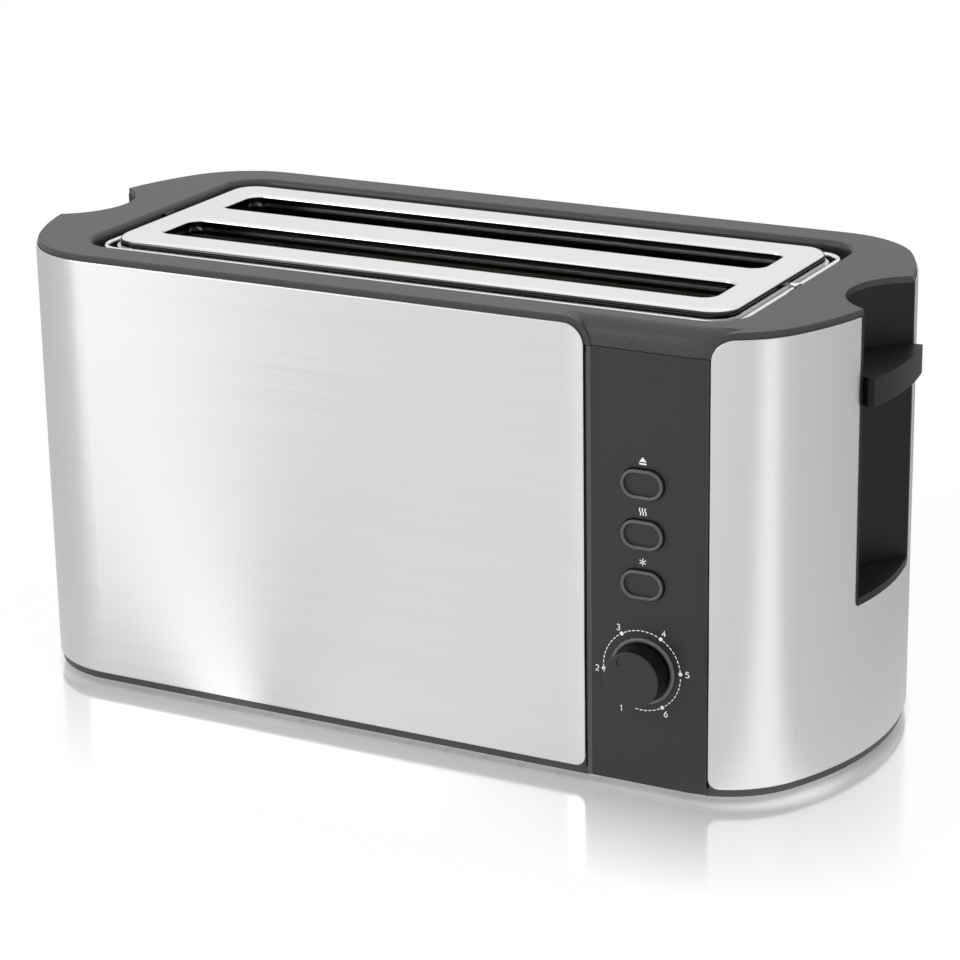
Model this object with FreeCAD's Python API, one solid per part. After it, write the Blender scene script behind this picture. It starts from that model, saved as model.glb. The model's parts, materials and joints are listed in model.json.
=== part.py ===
import FreeCAD, Part
import math
import os

# A long slot toaster, in millimetres, +Z up. +X is the lever end and -Y the front with the controls.

V = FreeCAD.Vector
UP = V(0, 0, 1)
ALONG_X = V(1, 0, 0)
TO_BACK = V(0, 1, 0)

# Overall body
BODY_LENGTH = 396.0
BODY_DEPTH = 174.0
BODY_HEIGHT = 200.0
CORNER_RADIUS = 45.0
END_RADIUS = 132.0

# Walls and clearances
STEEL_GAUGE = 0.8
PLASTIC_WALL = 2.2
COVER_THICKNESS = 2.8
ASSEMBLY_GAP = 0.2
PANEL_GAP = 0.3
PANEL_SEAM = 0.9
RUNNING_GAP = 0.3
PIN_CLEARANCE = 0.08
CUT_PAST = 5.0
SAME_PLACE = 0.01
LONG_EDGE = 1.0

# Feet and base
FOOT_HEIGHT = 3.4
FOOT_RADIUS = 8.0
FOOT_PLUG_RADIUS = 3.0
FOOT_X_INSET = 62.0
FOOT_Y_INSET = 22.0
BASE_FLOOR = 2.0
BASE_EDGE_HEIGHT = 3.5
BASE_WALL_HEIGHT = 11.0
VENT_WIDTH = 3.0
VENT_LENGTH = 12.0
VENT_PITCH = 18.0
VENT_COUNT = 12
VENT_INSET = 9.0
BOSS_INSET = 6.0
BOSS_RADIUS = 4.5

# Top cover and its well
COVER_SKIRT = 11.0
WELL_END_BAND = 42.2
WELL_SIDE_BAND = 18.5
WELL_CORNER = 16.0
WELL_LIP_DEPTH = 14.0
WELL_LIP_ROUND = 2.5
COVER_EDGE_ROUND = 0.6
COVER_INSET = 1.0
SHOULDER_ROUND = 8.0
SHOULDER_WALL = 3.0

# Slot plate
PLATE_END_GAP = 8.0
PLATE_SIDE_GAP = 12.3
PLATE_RISE = 0.5
PLATE_CORNER = 12.0
PLATE_EDGE_ROUND = 2.6
PLATE_LIP_DROP = 4.5
PLATE_LIP = 1.5
PLATE_FLANGE = 4.0
PLATE_END_MARGIN = 14.8
PLATE_SIDE_MARGIN = 16.7
SLOT_BRIDGE = 22.4
SLOT_CORNER = 6.0
SLOT_FLANGE = 7.0
SLOT_EDGE_ROUND = 1.5

# Control panel
PANEL_TO_END = 44.7
PANEL_WIDTH = 55.0
CONTROL_SHIFT = -1.8
PANEL_INSET = 1.6
PANEL_THICKNESS = 2.5
PANEL_DROP = 11.0
PANEL_LAP = 4.0
PANEL_RIM = 1.4
STRIP_WIDTH = 2.7
STEEL_TOP_CORNER = 9.0
STEEL_BOTTOM_CORNER = 4.5

# Buttons and dial
BUTTON_WIDTH = 18.8
BUTTON_HEIGHT = 12.4
BUTTON_PROUD = 1.4
BUTTON_RIM = 1.5
BUTTON_EDGE = 0.5
BUTTON_DISH = 0.9
BUTTON_TRAVEL = 2.0
BUTTON_FLANGE = 1.4
BUTTON_FLANGE_THICKNESS = 1.0
BUTTON_PITCH = 21.4
LOWEST_BUTTON = 91.2
STEM_RADIUS = 1.8
STEM_INTO_SWITCH = 0.5
DIAL_HEIGHT = 53.7
KNOB_RADIUS = 12.0
KNOB_PROUD = 12.0
KNOB_EDGE = 0.8
KNOB_FLOAT = 0.6
KNOB_MARK_RADIUS = 1.7
KNOB_MARK_DEPTH = 0.5
KNOB_MARK_PLACE = 8.6
KNOB_MARK_ANGLE = 124.0
RING_WIDTH = 1.7
RING_PROUD = 1.2
RING_EDGE = 0.6
SHAFT_RADIUS = 3.0
SHAFT_FLAT = 1.0
SHAFT_GRIP = 9.0
SHAFT_HOLE_GAP = 1.0

# Control board
BOARD_SETBACK = 14.0
BOARD_THICKNESS = 1.6
BOARD_MARGIN = 3.0
BOARD_BOTTOM = 34.0
BOARD_TOP = 148.0
POST_RADIUS = 3.0
POST_INSET = 4.0
POST_BORE_DEPTH = 9.0
SWITCH_SIDE = 8.0
SWITCH_DEPTH = 9.0
SWITCH_BORE = 2.3
SWITCH_FLOOR = 2.0
POT_SIDE = 17.0
POT_DEPTH = 8.0
CHIP_SIZE = (18.0, 8.0, 3.0)
CAPACITOR_RADIUS = 4.0
CAPACITOR_LENGTH = 12.0
CAPACITOR_ASIDE = 6.0
SCREW_RADIUS = 1.5
SCREW_HEAD_RADIUS = 2.8
SCREW_HEAD = 1.6
BOARD_SCREW_REACH = 7.0

# Scoops and lever
SCOOP_DEPTH = 20.5
SCOOP_HALF_WIDTH = 28.4
SCOOP_RIM = 2.3
SCOOP_FLOOR = 77.0
SCOOP_RIM_DROP = 3.2
SCOOP_RIM_INSET = 0.4
SCOOP_CORNER = 3.0
LEVER_DROP = 28.6
LEVER_THICKNESS = 12.0
LEVER_HALF_WIDTH = 27.5
LEVER_PROUD = 4.0
LEVER_CLEARANCE = 1.5
LEVER_DOWN_CLEARANCE = 10.4
ARM_THICKNESS = 3.0
ARM_HEIGHT = 8.0
ARM_GRIP = 10.0
ARM_SLOT_GAP = 0.9

# Toasting chamber
CHASSIS_GAUGE = 1.0
CHASSIS_MARGIN = 6.0
CHASSIS_FLOOR = 15.0
CHASSIS_SIDE_GAP = 3.0
FLANGE_REACH = 28.0
FLANGE_HALF_WIDTH = 34.0
FLANGE_DROP = 15.0
RAIL_THICKNESS = 1.2
RAIL_HEIGHT = 9.0
RAIL_TABS = 9
RAIL_TAB_HEIGHT = 5.0
RAIL_TO_GRID = 9.0
RAIL_BELOW_TOP = 85.0
RAIL_WINDOW_GAP = 1.4
CARRIAGE_GAP = 4.0
CARRIAGE_GAUGE = 1.2
CARRIAGE_REACH = 5.0
RISER_FRONT = 8.0
RISER_PAST_GUIDE = 6.0
BOARD_TO_CHASSIS = 3.6
MICA = 0.6
REFLECTOR_TO_CHASSIS = 0.6
REFLECTOR_GAUGE = 0.8
REFLECTOR_BELOW = 4.0
REFLECTOR_ABOVE = 2.0
RIBBON_THICKNESS = 0.4
RIBBON_WIDTH = 2.0
RIBBON_ROWS = 9
RIBBON_MARGIN = 10.0
HEATER_BOTTOM = 26.0
HEATER_TOP_GAP = 14.0
GRID_WIRE = 0.9
GRID_SIDE_GAP = 2.0
GRID_BARS = 9
GRID_BOTTOM = 32.0
GRID_TOP_GAP = 12.0
GRID_PIN = 1.2
GRID_PIN_REACH = 1.0
GRID_BAR_INSET = 2.0
GRID_INSET = 3.0

# Guide rods, spring and magnet
GUIDE_RADIUS = 2.5
GUIDE_OUT = 12.0
GUIDE_ASIDE = 14.0
BUSHING_WALL = 2.4
BUSHING_FOOT_HALF = 4.0
SPRING_RADIUS = 4.0
SPRING_WIRE = 0.9
SPRING_TURNS = 12
MAGNET_OUT = 17.0
MAGNET_ASIDE = 16.0
CORE_RADIUS = 4.0
CORE_HEIGHT = 18.0
COIL_RADIUS = 9.0
COIL_HEIGHT = 15.0
ARMATURE_HALF = 9.0
ARMATURE_HALF_DEPTH = 8.0
ARMATURE_THICKNESS = 2.0
POWER_SWITCH_SIZE = (12.0, 12.0, 13.0)
POWER_SWITCH_OFFSET = 6.0
TERMINAL_SIZE = (14.0, 18.0, 12.0)
TERMINAL_HOLE = 2.0
TERMINAL_ASIDE = 6.0

# Rack wires
RACK_WIRE = 1.3
RACK_BELOW_TOP = 4.0
RACK_OUT = 3.9
RACK_FRONT_OUT = 3.9
RACK_REAR_OUT = 3.2
RACK_CORNER = 10.0
RACK_BEND = 1.6
FRONT_PIVOT_Y = 1.0
REAR_PIVOT_Y = 7.0
FRONT_PIN = 2.8
REAR_PIN = 5.1
RACK_EAR = 3.2

# Crumb tray and cord gland
TRAY_HALF_LENGTH = 130.0
TRAY_GAUGE = 0.8
TRAY_WALL = 5.0
TRAY_LIFT = 0.3
TRAY_FRONT_GAP = 6.0
PULL_HEIGHT = 8.0
PULL_LIP = 3.0
PULL_LIP_HALF = 40.0
PULL_LIP_HEIGHT = 3.0
PULL_LIP_ROUND = 1.2
GLAND_X = -112.0
GLAND_Z = 34.0
GLAND_BORE = 3.4
GLAND_NECK = 6.0
GLAND_FLANGE = 9.0
GLAND_INNER_FLANGE = 8.0
GLAND_FLANGE_THICKNESS = 2.5

# Levels and places worked out from the sizes above
BASE_BOTTOM = FOOT_HEIGHT
FLOOR_TOP = BASE_BOTTOM + BASE_FLOOR
STEEL_BOTTOM = BASE_BOTTOM + BASE_EDGE_HEIGHT
STEEL_TOP = BODY_HEIGHT - COVER_THICKNESS
PANEL_TOP = BODY_HEIGHT - PANEL_DROP
PLATE_TOP = BODY_HEIGHT + PLATE_RISE
PLATE_UNDER = PLATE_TOP - STEEL_GAUGE
HIDDEN_INSET = STEEL_GAUGE + ASSEMBLY_GAP
FRONT_Y = -BODY_DEPTH / 2
PANEL_RIGHT = BODY_LENGTH / 2 - PANEL_TO_END
PANEL_LEFT = PANEL_RIGHT - PANEL_WIDTH
PANEL_FRONT_Y = FRONT_Y + PANEL_INSET
PANEL_BACK_Y = PANEL_FRONT_Y + PANEL_THICKNESS
CONTROL_X = (PANEL_LEFT + PANEL_RIGHT) / 2 + CONTROL_SHIFT
BUTTON_HEIGHTS = [LOWEST_BUTTON + step * BUTTON_PITCH for step in range(3)]

SKIRT_BOTTOM = STEEL_TOP - COVER_SKIRT
LEDGE_TOP = BODY_HEIGHT - WELL_LIP_DEPTH + PLASTIC_WALL
WELL_HALF_X = BODY_LENGTH / 2 - WELL_END_BAND
WELL_HALF_Y = BODY_DEPTH / 2 - WELL_SIDE_BAND
PLATE_HALF_X = WELL_HALF_X - PLATE_END_GAP
PLATE_HALF_Y = WELL_HALF_Y - PLATE_SIDE_GAP
SLOT_HALF_X = PLATE_HALF_X - PLATE_END_MARGIN
SLOT_WIDTH = PLATE_HALF_Y - PLATE_SIDE_MARGIN - SLOT_BRIDGE / 2
SLOT_Y = SLOT_BRIDGE / 2 + SLOT_WIDTH / 2

END_CENTRE_X = BODY_LENGTH / 2 - END_RADIUS
SCOOP_EDGE_X = END_CENTRE_X + math.sqrt(END_RADIUS ** 2 - SCOOP_HALF_WIDTH ** 2)
SCOOP_SAGITTA = SCOOP_EDGE_X - (BODY_LENGTH / 2 - SCOOP_DEPTH)
SCOOP_RADIUS = (SCOOP_HALF_WIDTH ** 2 + SCOOP_SAGITTA ** 2) / (2 * SCOOP_SAGITTA)
SCOOP_CENTRE_X = BODY_LENGTH / 2 - SCOOP_DEPTH + SCOOP_RADIUS

LEVER_TOP = BODY_HEIGHT - LEVER_DROP
LEVER_BOTTOM = LEVER_TOP - LEVER_THICKNESS
LEVER_TRAVEL = LEVER_BOTTOM - SCOOP_FLOOR - LEVER_DOWN_CLEARANCE
ARM_BOTTOM = LEVER_BOTTOM + (LEVER_THICKNESS - ARM_HEIGHT) / 2
ARM_TOP = ARM_BOTTOM + ARM_HEIGHT

CHASSIS_X = SLOT_HALF_X + CHASSIS_MARGIN
CHASSIS_OUT = CHASSIS_X + CHASSIS_GAUGE
CHASSIS_HALF_Y = PLATE_HALF_Y - STEEL_GAUGE - CHASSIS_SIDE_GAP
TOP_FLANGE_Z = BODY_HEIGHT - FLANGE_DROP
CARRIAGE_X = CHASSIS_OUT + CARRIAGE_GAP
CARRIAGE_OUT = CARRIAGE_X + CARRIAGE_GAUGE
RAIL_TOP = BODY_HEIGHT - RAIL_BELOW_TOP
RAIL_BOTTOM = RAIL_TOP - RAIL_HEIGHT
GUIDE_X = CHASSIS_OUT + GUIDE_OUT
MAGNET_X = CHASSIS_OUT + MAGNET_OUT
MAGNET_Y = -MAGNET_ASIDE
FLANGE_TOP_FACE = CHASSIS_FLOOR + CHASSIS_GAUGE
CORE_TOP = FLANGE_TOP_FACE + CORE_HEIGHT
ARMATURE_BOTTOM = CORE_TOP + LEVER_TRAVEL + RUNNING_GAP
GRID_OFFSET = SLOT_WIDTH / 2 + GRID_SIDE_GAP
GRID_TOP = BODY_HEIGHT - GRID_TOP_GAP
HEATER_TOP = BODY_HEIGHT - HEATER_TOP_GAP

RACK_Z = BODY_HEIGHT - RACK_BELOW_TOP
RACK_X = PLATE_HALF_X + RACK_OUT

BOARD_FRONT_Y = PANEL_BACK_Y + BOARD_SETBACK
BOARD_LEFT = PANEL_LEFT + BOARD_MARGIN
BOARD_RIGHT = PANEL_RIGHT - BOARD_MARGIN

# The origin lies under the middle of the whole object's box, which the lever, knob and pull widen.
SHIFT = V(-LEVER_PROUD / 2, (KNOB_PROUD - PANEL_INSET - PULL_LIP) / 2, 0)

pieces = {}


def keep(name, shape):
    """Name a finished piece."""
    shape = shape.removeSplitter()
    pieces[name] = shape
    return shape


def box(x, y, z):
    """A block between the two values of each axis."""
    return Part.makeBox(x[1] - x[0], y[1] - y[0], z[1] - z[0], V(x[0], y[0], z[0]))


def rod(radius, start, direction, length):
    """A round bar from a point along a direction."""
    return Part.makeCylinder(radius, length, start, direction)


def tube(outer, inner, start, direction, length):
    """A round bar with a bore along it."""
    return rod(outer, start, direction, length).cut(rod(inner, start, direction, length))


def arc_edge(centre, radius, start_deg, end_deg):
    """A flat arc at height 0 from one angle to another."""
    def at(angle):
        turn = math.radians(angle)
        return V(centre[0] + radius * math.cos(turn), centre[1] + radius * math.sin(turn), 0)
    return Part.Arc(at(start_deg), at((start_deg + end_deg) / 2), at(end_deg)).toShape()


def prism(wire, bottom, top):
    """A flat outline raised between two heights."""
    face = Part.Face(wire)
    face.translate(V(0, 0, bottom))
    return face.extrude(V(0, 0, top - bottom))


def body_outline(inset):
    """The body in plan: flat front and back, round corners and bowed ends."""
    half_depth = BODY_DEPTH / 2 - inset
    corner = CORNER_RADIUS - inset
    end = END_RADIUS - inset
    corner_y = half_depth - corner
    reach = math.sqrt((end - corner) ** 2 - corner_y ** 2)
    corner_x = END_CENTRE_X + reach
    turn = math.degrees(math.atan2(corner_y, reach))
    edges = [
        Part.makeLine(V(-corner_x, -half_depth, 0), V(corner_x, -half_depth, 0)),
        arc_edge((corner_x, -corner_y), corner, -90, -turn),
        arc_edge((END_CENTRE_X, 0), end, -turn, turn),
        arc_edge((corner_x, corner_y), corner, turn, 90),
        Part.makeLine(V(corner_x, half_depth, 0), V(-corner_x, half_depth, 0)),
        arc_edge((-corner_x, corner_y), corner, 90, 180 - turn),
        arc_edge((-END_CENTRE_X, 0), end, 180 - turn, 180 + turn),
        arc_edge((-corner_x, -corner_y), corner, 180 + turn, 270),
    ]
    return Part.Wire(edges)


def body_prism(inset, bottom, top):
    return prism(body_outline(inset), bottom, top)


def body_ring(outer_inset, inner_inset, bottom, top):
    return body_prism(outer_inset, bottom, top).cut(body_prism(inner_inset, bottom, top))


def front_span(shape, left, right):
    """The part of a shape at the front between two places along the length."""
    return shape.common(box((left, right), (-BODY_DEPTH, 0), (-BODY_HEIGHT, 2 * BODY_HEIGHT)))


def rounded_rectangle(half_x, half_y, corner, centre=(0, 0)):
    """A rectangle in plan with round corners."""
    corner = min(corner, half_x - SAME_PLACE, half_y - SAME_PLACE)
    x, y = centre
    in_x = half_x - corner
    in_y = half_y - corner
    edges = [
        Part.makeLine(V(x - in_x, y - half_y, 0), V(x + in_x, y - half_y, 0)),
        arc_edge((x + in_x, y - in_y), corner, -90, 0),
        Part.makeLine(V(x + half_x, y - in_y, 0), V(x + half_x, y + in_y, 0)),
        arc_edge((x + in_x, y + in_y), corner, 0, 90),
        Part.makeLine(V(x + in_x, y + half_y, 0), V(x - in_x, y + half_y, 0)),
        arc_edge((x - in_x, y + in_y), corner, 90, 180),
        Part.makeLine(V(x - half_x, y + in_y, 0), V(x - half_x, y - in_y, 0)),
        arc_edge((x - in_x, y - in_y), corner, 180, 270),
    ]
    return Part.Wire(edges)


def rounded_block(half_x, half_y, corner, bottom, top, centre=(0, 0)):
    return prism(rounded_rectangle(half_x, half_y, corner, centre), bottom, top)


def to_front(shape):
    """Stand a shape drawn in plan up against the front: its y becomes z and its height faces -Y."""
    shape.rotate(V(0, 0, 0), ALONG_X, 90)
    return shape


def front_block(half_x, half_z, corner, front_y, back_y, centre):
    """A round-cornered block seen from the front, between two depths."""
    return to_front(rounded_block(half_x, half_z, corner, -back_y, -front_y, centre))


def stadium(width, height, front_y, back_y, centre):
    return front_block(width / 2, height / 2, height / 2, front_y, back_y, centre)


def edges_at_height(shape, height):
    """The edges that lie flat at one height."""
    found = []
    for edge in shape.Edges:
        bounds = edge.BoundBox
        if abs(bounds.ZMin - height) < SAME_PLACE and abs(bounds.ZMax - height) < SAME_PLACE:
            found.append(edge)
    return found


def corner_waste(x, z, toward_x, toward_z, radius, depth):
    """What rounding a sheet's corner takes away: a square less a quarter round, seen from the front."""
    centre = V(x + toward_x * radius, depth[0], z + toward_z * radius)
    low_x, high_x = sorted((x, centre.x))
    low_z, high_z = sorted((z, centre.z))
    square = box((low_x, high_x), depth, (low_z, high_z))
    return square.cut(rod(radius, centre, TO_BACK, depth[1] - depth[0]))


def bent_wire(points, radius, bend):
    """A round wire along straight runs joined by tangent arcs of the bend radii given."""
    edges = []
    start = points[0]
    for index in range(1, len(points) - 1):
        here = points[index]
        inward = (here - points[index - 1]).normalize()
        outward = (points[index + 1] - here).normalize()
        turn = inward.getAngle(outward)
        back = bend[index - 1] * math.tan(turn / 2)
        begin = here - inward * back
        finish = here + outward * back
        toward_centre = (outward - inward).normalize()
        middle = here + toward_centre * (bend[index - 1] / math.cos(turn / 2) - bend[index - 1])
        edges.append(Part.makeLine(start, begin))
        edges.append(Part.Arc(begin, middle, finish).toShape())
        start = finish
    edges.append(Part.makeLine(start, points[-1]))
    path = Part.Wire(edges)
    profile = Part.Wire(Part.makeCircle(radius, points[0], points[1] - points[0]))
    return path.makePipeShell([profile], True, False)


def mirrored_x(shape):
    return shape.mirror(V(0, 0, 0), ALONG_X)


def scoop_cylinder(radius, bottom, top, side):
    """The upright round of a scoop, at the end given by side."""
    return rod(radius, V(side * SCOOP_CENTRE_X, 0, bottom), UP, top - bottom)


def scoop_window(side, margin):
    """The steel's cut-out over a scoop, open at the top, drawn in by a margin."""
    half = SCOOP_HALF_WIDTH + SCOOP_RIM - margin
    low = SCOOP_FLOOR - SCOOP_RIM_DROP + margin
    high = BODY_HEIGHT + CUT_PAST
    corner = SCOOP_CORNER - margin
    reach = BODY_LENGTH / 2 + CUT_PAST
    window = rounded_block((high - low) / 2, half, corner, -reach, END_CENTRE_X - reach, ((low + high) / 2, 0))
    window.rotate(V(0, 0, 0), TO_BACK, -90)
    if side > 0:
        return window
    return mirrored_x(window)


# Steel panels

def steel_band():
    """The whole sheet round the body, less its openings."""
    band = body_ring(0, STEEL_GAUGE, STEEL_BOTTOM, STEEL_TOP)
    depth = (FRONT_Y - CUT_PAST, FRONT_Y + CORNER_RADIUS / 2)
    band = band.cut(box((PANEL_LEFT, PANEL_RIGHT), depth, (0, BODY_HEIGHT)))
    for x, toward in ((PANEL_LEFT, -1), (PANEL_RIGHT, 1)):
        band = band.cut(corner_waste(x, STEEL_BOTTOM, toward, 1, STEEL_BOTTOM_CORNER, depth))
        band = band.cut(corner_waste(x, STEEL_TOP, toward, -1, STEEL_TOP_CORNER, depth))
    seam = (PANEL_LEFT - PANEL_GAP / 2, PANEL_LEFT + PANEL_GAP / 2)
    band = band.cut(box(seam, (0, BODY_DEPTH), (0, BODY_HEIGHT)))
    for side in (-1, 1):
        band = band.cut(scoop_window(side, 0))
    band = band.cut(tray_opening(0))
    gland = rod(GLAND_NECK + ASSEMBLY_GAP, V(GLAND_X, 0, GLAND_Z), TO_BACK, BODY_DEPTH)
    return band.cut(gland)


def tray_opening(margin):
    """The long opening at the back that the crumb tray slides through."""
    half = TRAY_HALF_LENGTH + RUNNING_GAP + PANEL_GAP - margin
    top = STEEL_BOTTOM + PULL_HEIGHT + PANEL_GAP - margin
    return box((-half, half), (BODY_DEPTH / 4, BODY_DEPTH), (FLOOR_TOP, top))


def make_steel_panels():
    band = steel_band()
    big = 2 * BODY_LENGTH
    left = band.common(box((-big, PANEL_LEFT), (-big, big), (0, big)))
    right = band.common(box((PANEL_LEFT, big), (-big, big), (0, big)))
    keep("main_steel_panel", left)
    keep("right_steel_panel", right)


# Top cover

def shoulder_area():
    """Where the cover rolls down to the control panel, seen from the front between the steel corners."""
    depth = (-BODY_DEPTH, FRONT_Y + SHOULDER_ROUND + SHOULDER_WALL)
    bend_height = STEEL_TOP - STEEL_TOP_CORNER
    below = box((PANEL_LEFT, PANEL_RIGHT), depth, (SKIRT_BOTTOM, PANEL_TOP))
    left = PANEL_LEFT - STEEL_TOP_CORNER
    right = PANEL_RIGHT + STEEL_TOP_CORNER
    above = box((left, right), depth, (bend_height, BODY_HEIGHT + CUT_PAST))
    for x in (left, right):
        above = above.cut(rod(STEEL_TOP_CORNER + STRIP_WIDTH, V(x, depth[0], bend_height), TO_BACK, BODY_DEPTH))
    return below.fuse(above)


def shoulder_block():
    """The rolled edge above the control panel, before it is trimmed to its area."""
    block = body_prism(PANEL_INSET, PANEL_TOP, BODY_HEIGHT)
    beyond = STEEL_TOP_CORNER + CUT_PAST
    block = front_span(block, PANEL_LEFT - beyond, PANEL_RIGHT + beyond)
    front = []
    for edge in edges_at_height(block, BODY_HEIGHT):
        middle = edge.valueAt((edge.FirstParameter + edge.LastParameter) / 2)
        if middle.y < FRONT_Y + SHOULDER_ROUND and edge.BoundBox.XLength > LONG_EDGE:
            front.append(edge)
    block = block.makeFillet(SHOULDER_ROUND, front)
    return block.cut(body_prism(PANEL_INSET + SHOULDER_WALL, PANEL_TOP, BODY_HEIGHT - SHOULDER_ROUND))


def make_top_cover():
    top = body_prism(COVER_INSET, STEEL_TOP, BODY_HEIGHT)
    top = top.makeFillet(COVER_EDGE_ROUND, edges_at_height(top, BODY_HEIGHT))
    skirt = body_ring(HIDDEN_INSET, HIDDEN_INSET + PLASTIC_WALL, SKIRT_BOTTOM, STEEL_TOP)
    area = shoulder_area()
    cover = top.fuse(skirt).cut(area).fuse(shoulder_block().common(area))
    wall = rounded_block(WELL_HALF_X + PLASTIC_WALL, WELL_HALF_Y + PLASTIC_WALL, WELL_CORNER + PLASTIC_WALL,
                         BODY_HEIGHT - WELL_LIP_DEPTH, BODY_HEIGHT)
    cover = cover.fuse(wall).removeSplitter()
    cover = cover.cut(rounded_block(WELL_HALF_X, WELL_HALF_Y, WELL_CORNER, LEDGE_TOP, 2 * BODY_HEIGHT))
    cover = cover.cut(rounded_block(PLATE_HALF_X, PLATE_HALF_Y, PLATE_CORNER, 0, BODY_HEIGHT))
    rim = []
    for edge in edges_at_height(cover, BODY_HEIGHT):
        bounds = edge.BoundBox
        inside_x = max(abs(bounds.XMin), abs(bounds.XMax)) < WELL_HALF_X + SAME_PLACE
        inside_y = max(abs(bounds.YMin), abs(bounds.YMax)) < WELL_HALF_Y + SAME_PLACE
        if inside_x and inside_y:
            rim.append(edge)
    cover = cover.makeFillet(WELL_LIP_ROUND, rim)
    for side in (-1, 1):
        cover = cover.cut(scoop_cylinder(SCOOP_RADIUS, 0, 2 * BODY_HEIGHT, side))
        cover = cover.cut(scoop_cylinder(SCOOP_RADIUS + PLASTIC_WALL + ASSEMBLY_GAP, 0, STEEL_TOP, side))
        beyond = sorted((side * (SCOOP_CENTRE_X - SCOOP_RADIUS), side * BODY_LENGTH))
        half = SCOOP_HALF_WIDTH + SCOOP_RIM
        cover = cover.cut(box(beyond, (-half, half), (0, STEEL_TOP)))
    keep("top_cover", cover)


# Scoops

def make_scoop_liner(name, side, with_slot):
    """The dark recess at one end: a curved wall and a floor."""
    floor_bottom = SCOOP_FLOOR - PLASTIC_WALL
    outer = scoop_cylinder(SCOOP_RADIUS + PLASTIC_WALL, floor_bottom, STEEL_TOP, side)
    inner = scoop_cylinder(SCOOP_RADIUS, SCOOP_FLOOR, STEEL_TOP, side)
    liner = outer.cut(inner).common(body_prism(HIDDEN_INSET, 0, BODY_HEIGHT))
    filler = body_ring(SCOOP_RIM_INSET, HIDDEN_INSET + PLASTIC_WALL, 0, STEEL_TOP)
    filler = filler.common(scoop_window(side, ASSEMBLY_GAP))
    filler = filler.cut(scoop_cylinder(SCOOP_RADIUS, SCOOP_FLOOR, BODY_HEIGHT, side))
    liner = liner.fuse(filler)
    if with_slot:
        half_slot = ARM_THICKNESS / 2 + ARM_SLOT_GAP
        liner = liner.cut(box((CHASSIS_OUT, SCOOP_CENTRE_X - SCOOP_RADIUS / 2), (-half_slot, half_slot),
                              (ARM_BOTTOM - LEVER_TRAVEL - ARM_SLOT_GAP, ARM_TOP + ARM_SLOT_GAP)))
    keep(name, liner)


# Base, feet, screws

def boss_places():
    """Where the chassis flanges are screwed down to the base."""
    x = CHASSIS_OUT + FLANGE_REACH - BOSS_INSET
    y = FLANGE_HALF_WIDTH - BOSS_INSET
    return [(side * x, other * y) for side in (-1, 1) for other in (-1, 1)]


def foot_places():
    x = BODY_LENGTH / 2 - FOOT_X_INSET
    y = BODY_DEPTH / 2 - FOOT_Y_INSET
    return [(side * x, other * y) for side in (-1, 1) for other in (-1, 1)]


def make_base():
    top = STEEL_BOTTOM + BASE_WALL_HEIGHT
    base = body_prism(HIDDEN_INSET, BASE_BOTTOM, top)
    base = base.cut(body_prism(HIDDEN_INSET + PLASTIC_WALL, FLOOR_TOP, top))
    for x, y in boss_places():
        base = base.fuse(rod(BOSS_RADIUS, V(x, y, FLOOR_TOP), UP, CHASSIS_FLOOR - FLOOR_TOP))
        base = base.cut(rod(SCREW_RADIUS + ASSEMBLY_GAP, V(x, y, 0), UP, CHASSIS_FLOOR))
    for x, y in foot_places():
        base = base.cut(rod(FOOT_PLUG_RADIUS + PIN_CLEARANCE, V(x, y, 0), UP, FLOOR_TOP))
    base = base.cut(tray_opening(0))
    panel_way = body_ring(-CUT_PAST, PANEL_INSET + PANEL_THICKNESS + PANEL_GAP, 0, BODY_HEIGHT)
    base = base.cut(front_span(panel_way, PANEL_LEFT, PANEL_RIGHT))
    vent_y = BODY_DEPTH / 2 - VENT_INSET - VENT_LENGTH / 2
    for side in (-1, 1):
        for index in range(VENT_COUNT):
            x = (index - (VENT_COUNT - 1) / 2) * VENT_PITCH
            base = base.cut(rounded_block(VENT_WIDTH / 2, VENT_LENGTH / 2, VENT_WIDTH / 2, 0, FLOOR_TOP,
                                          (x, side * vent_y)))
    keep("base_pan", base)
    feet = []
    for x, y in foot_places():
        pad = rod(FOOT_RADIUS, V(x, y, 0), UP, FOOT_HEIGHT)
        pad = pad.makeFillet(FOOT_HEIGHT / 4, edges_at_height(pad, 0))
        feet.append(pad.fuse(rod(FOOT_PLUG_RADIUS, V(x, y, 0), UP, FLOOR_TOP)).removeSplitter())
    keep("rubber_feet", Part.makeCompound(feet))
    screws = []
    for x, y in boss_places():
        head = rod(SCREW_HEAD_RADIUS, V(x, y, BASE_BOTTOM - SCREW_HEAD), UP, SCREW_HEAD)
        shank = rod(SCREW_RADIUS, V(x, y, BASE_BOTTOM - SCREW_HEAD), UP,
                    FLANGE_TOP_FACE + SCREW_HEAD - BASE_BOTTOM + SCREW_HEAD)
        screws.append(head.fuse(shank))
    keep("base_screws", Part.makeCompound(screws))


# Crumb tray and cord gland

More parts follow.
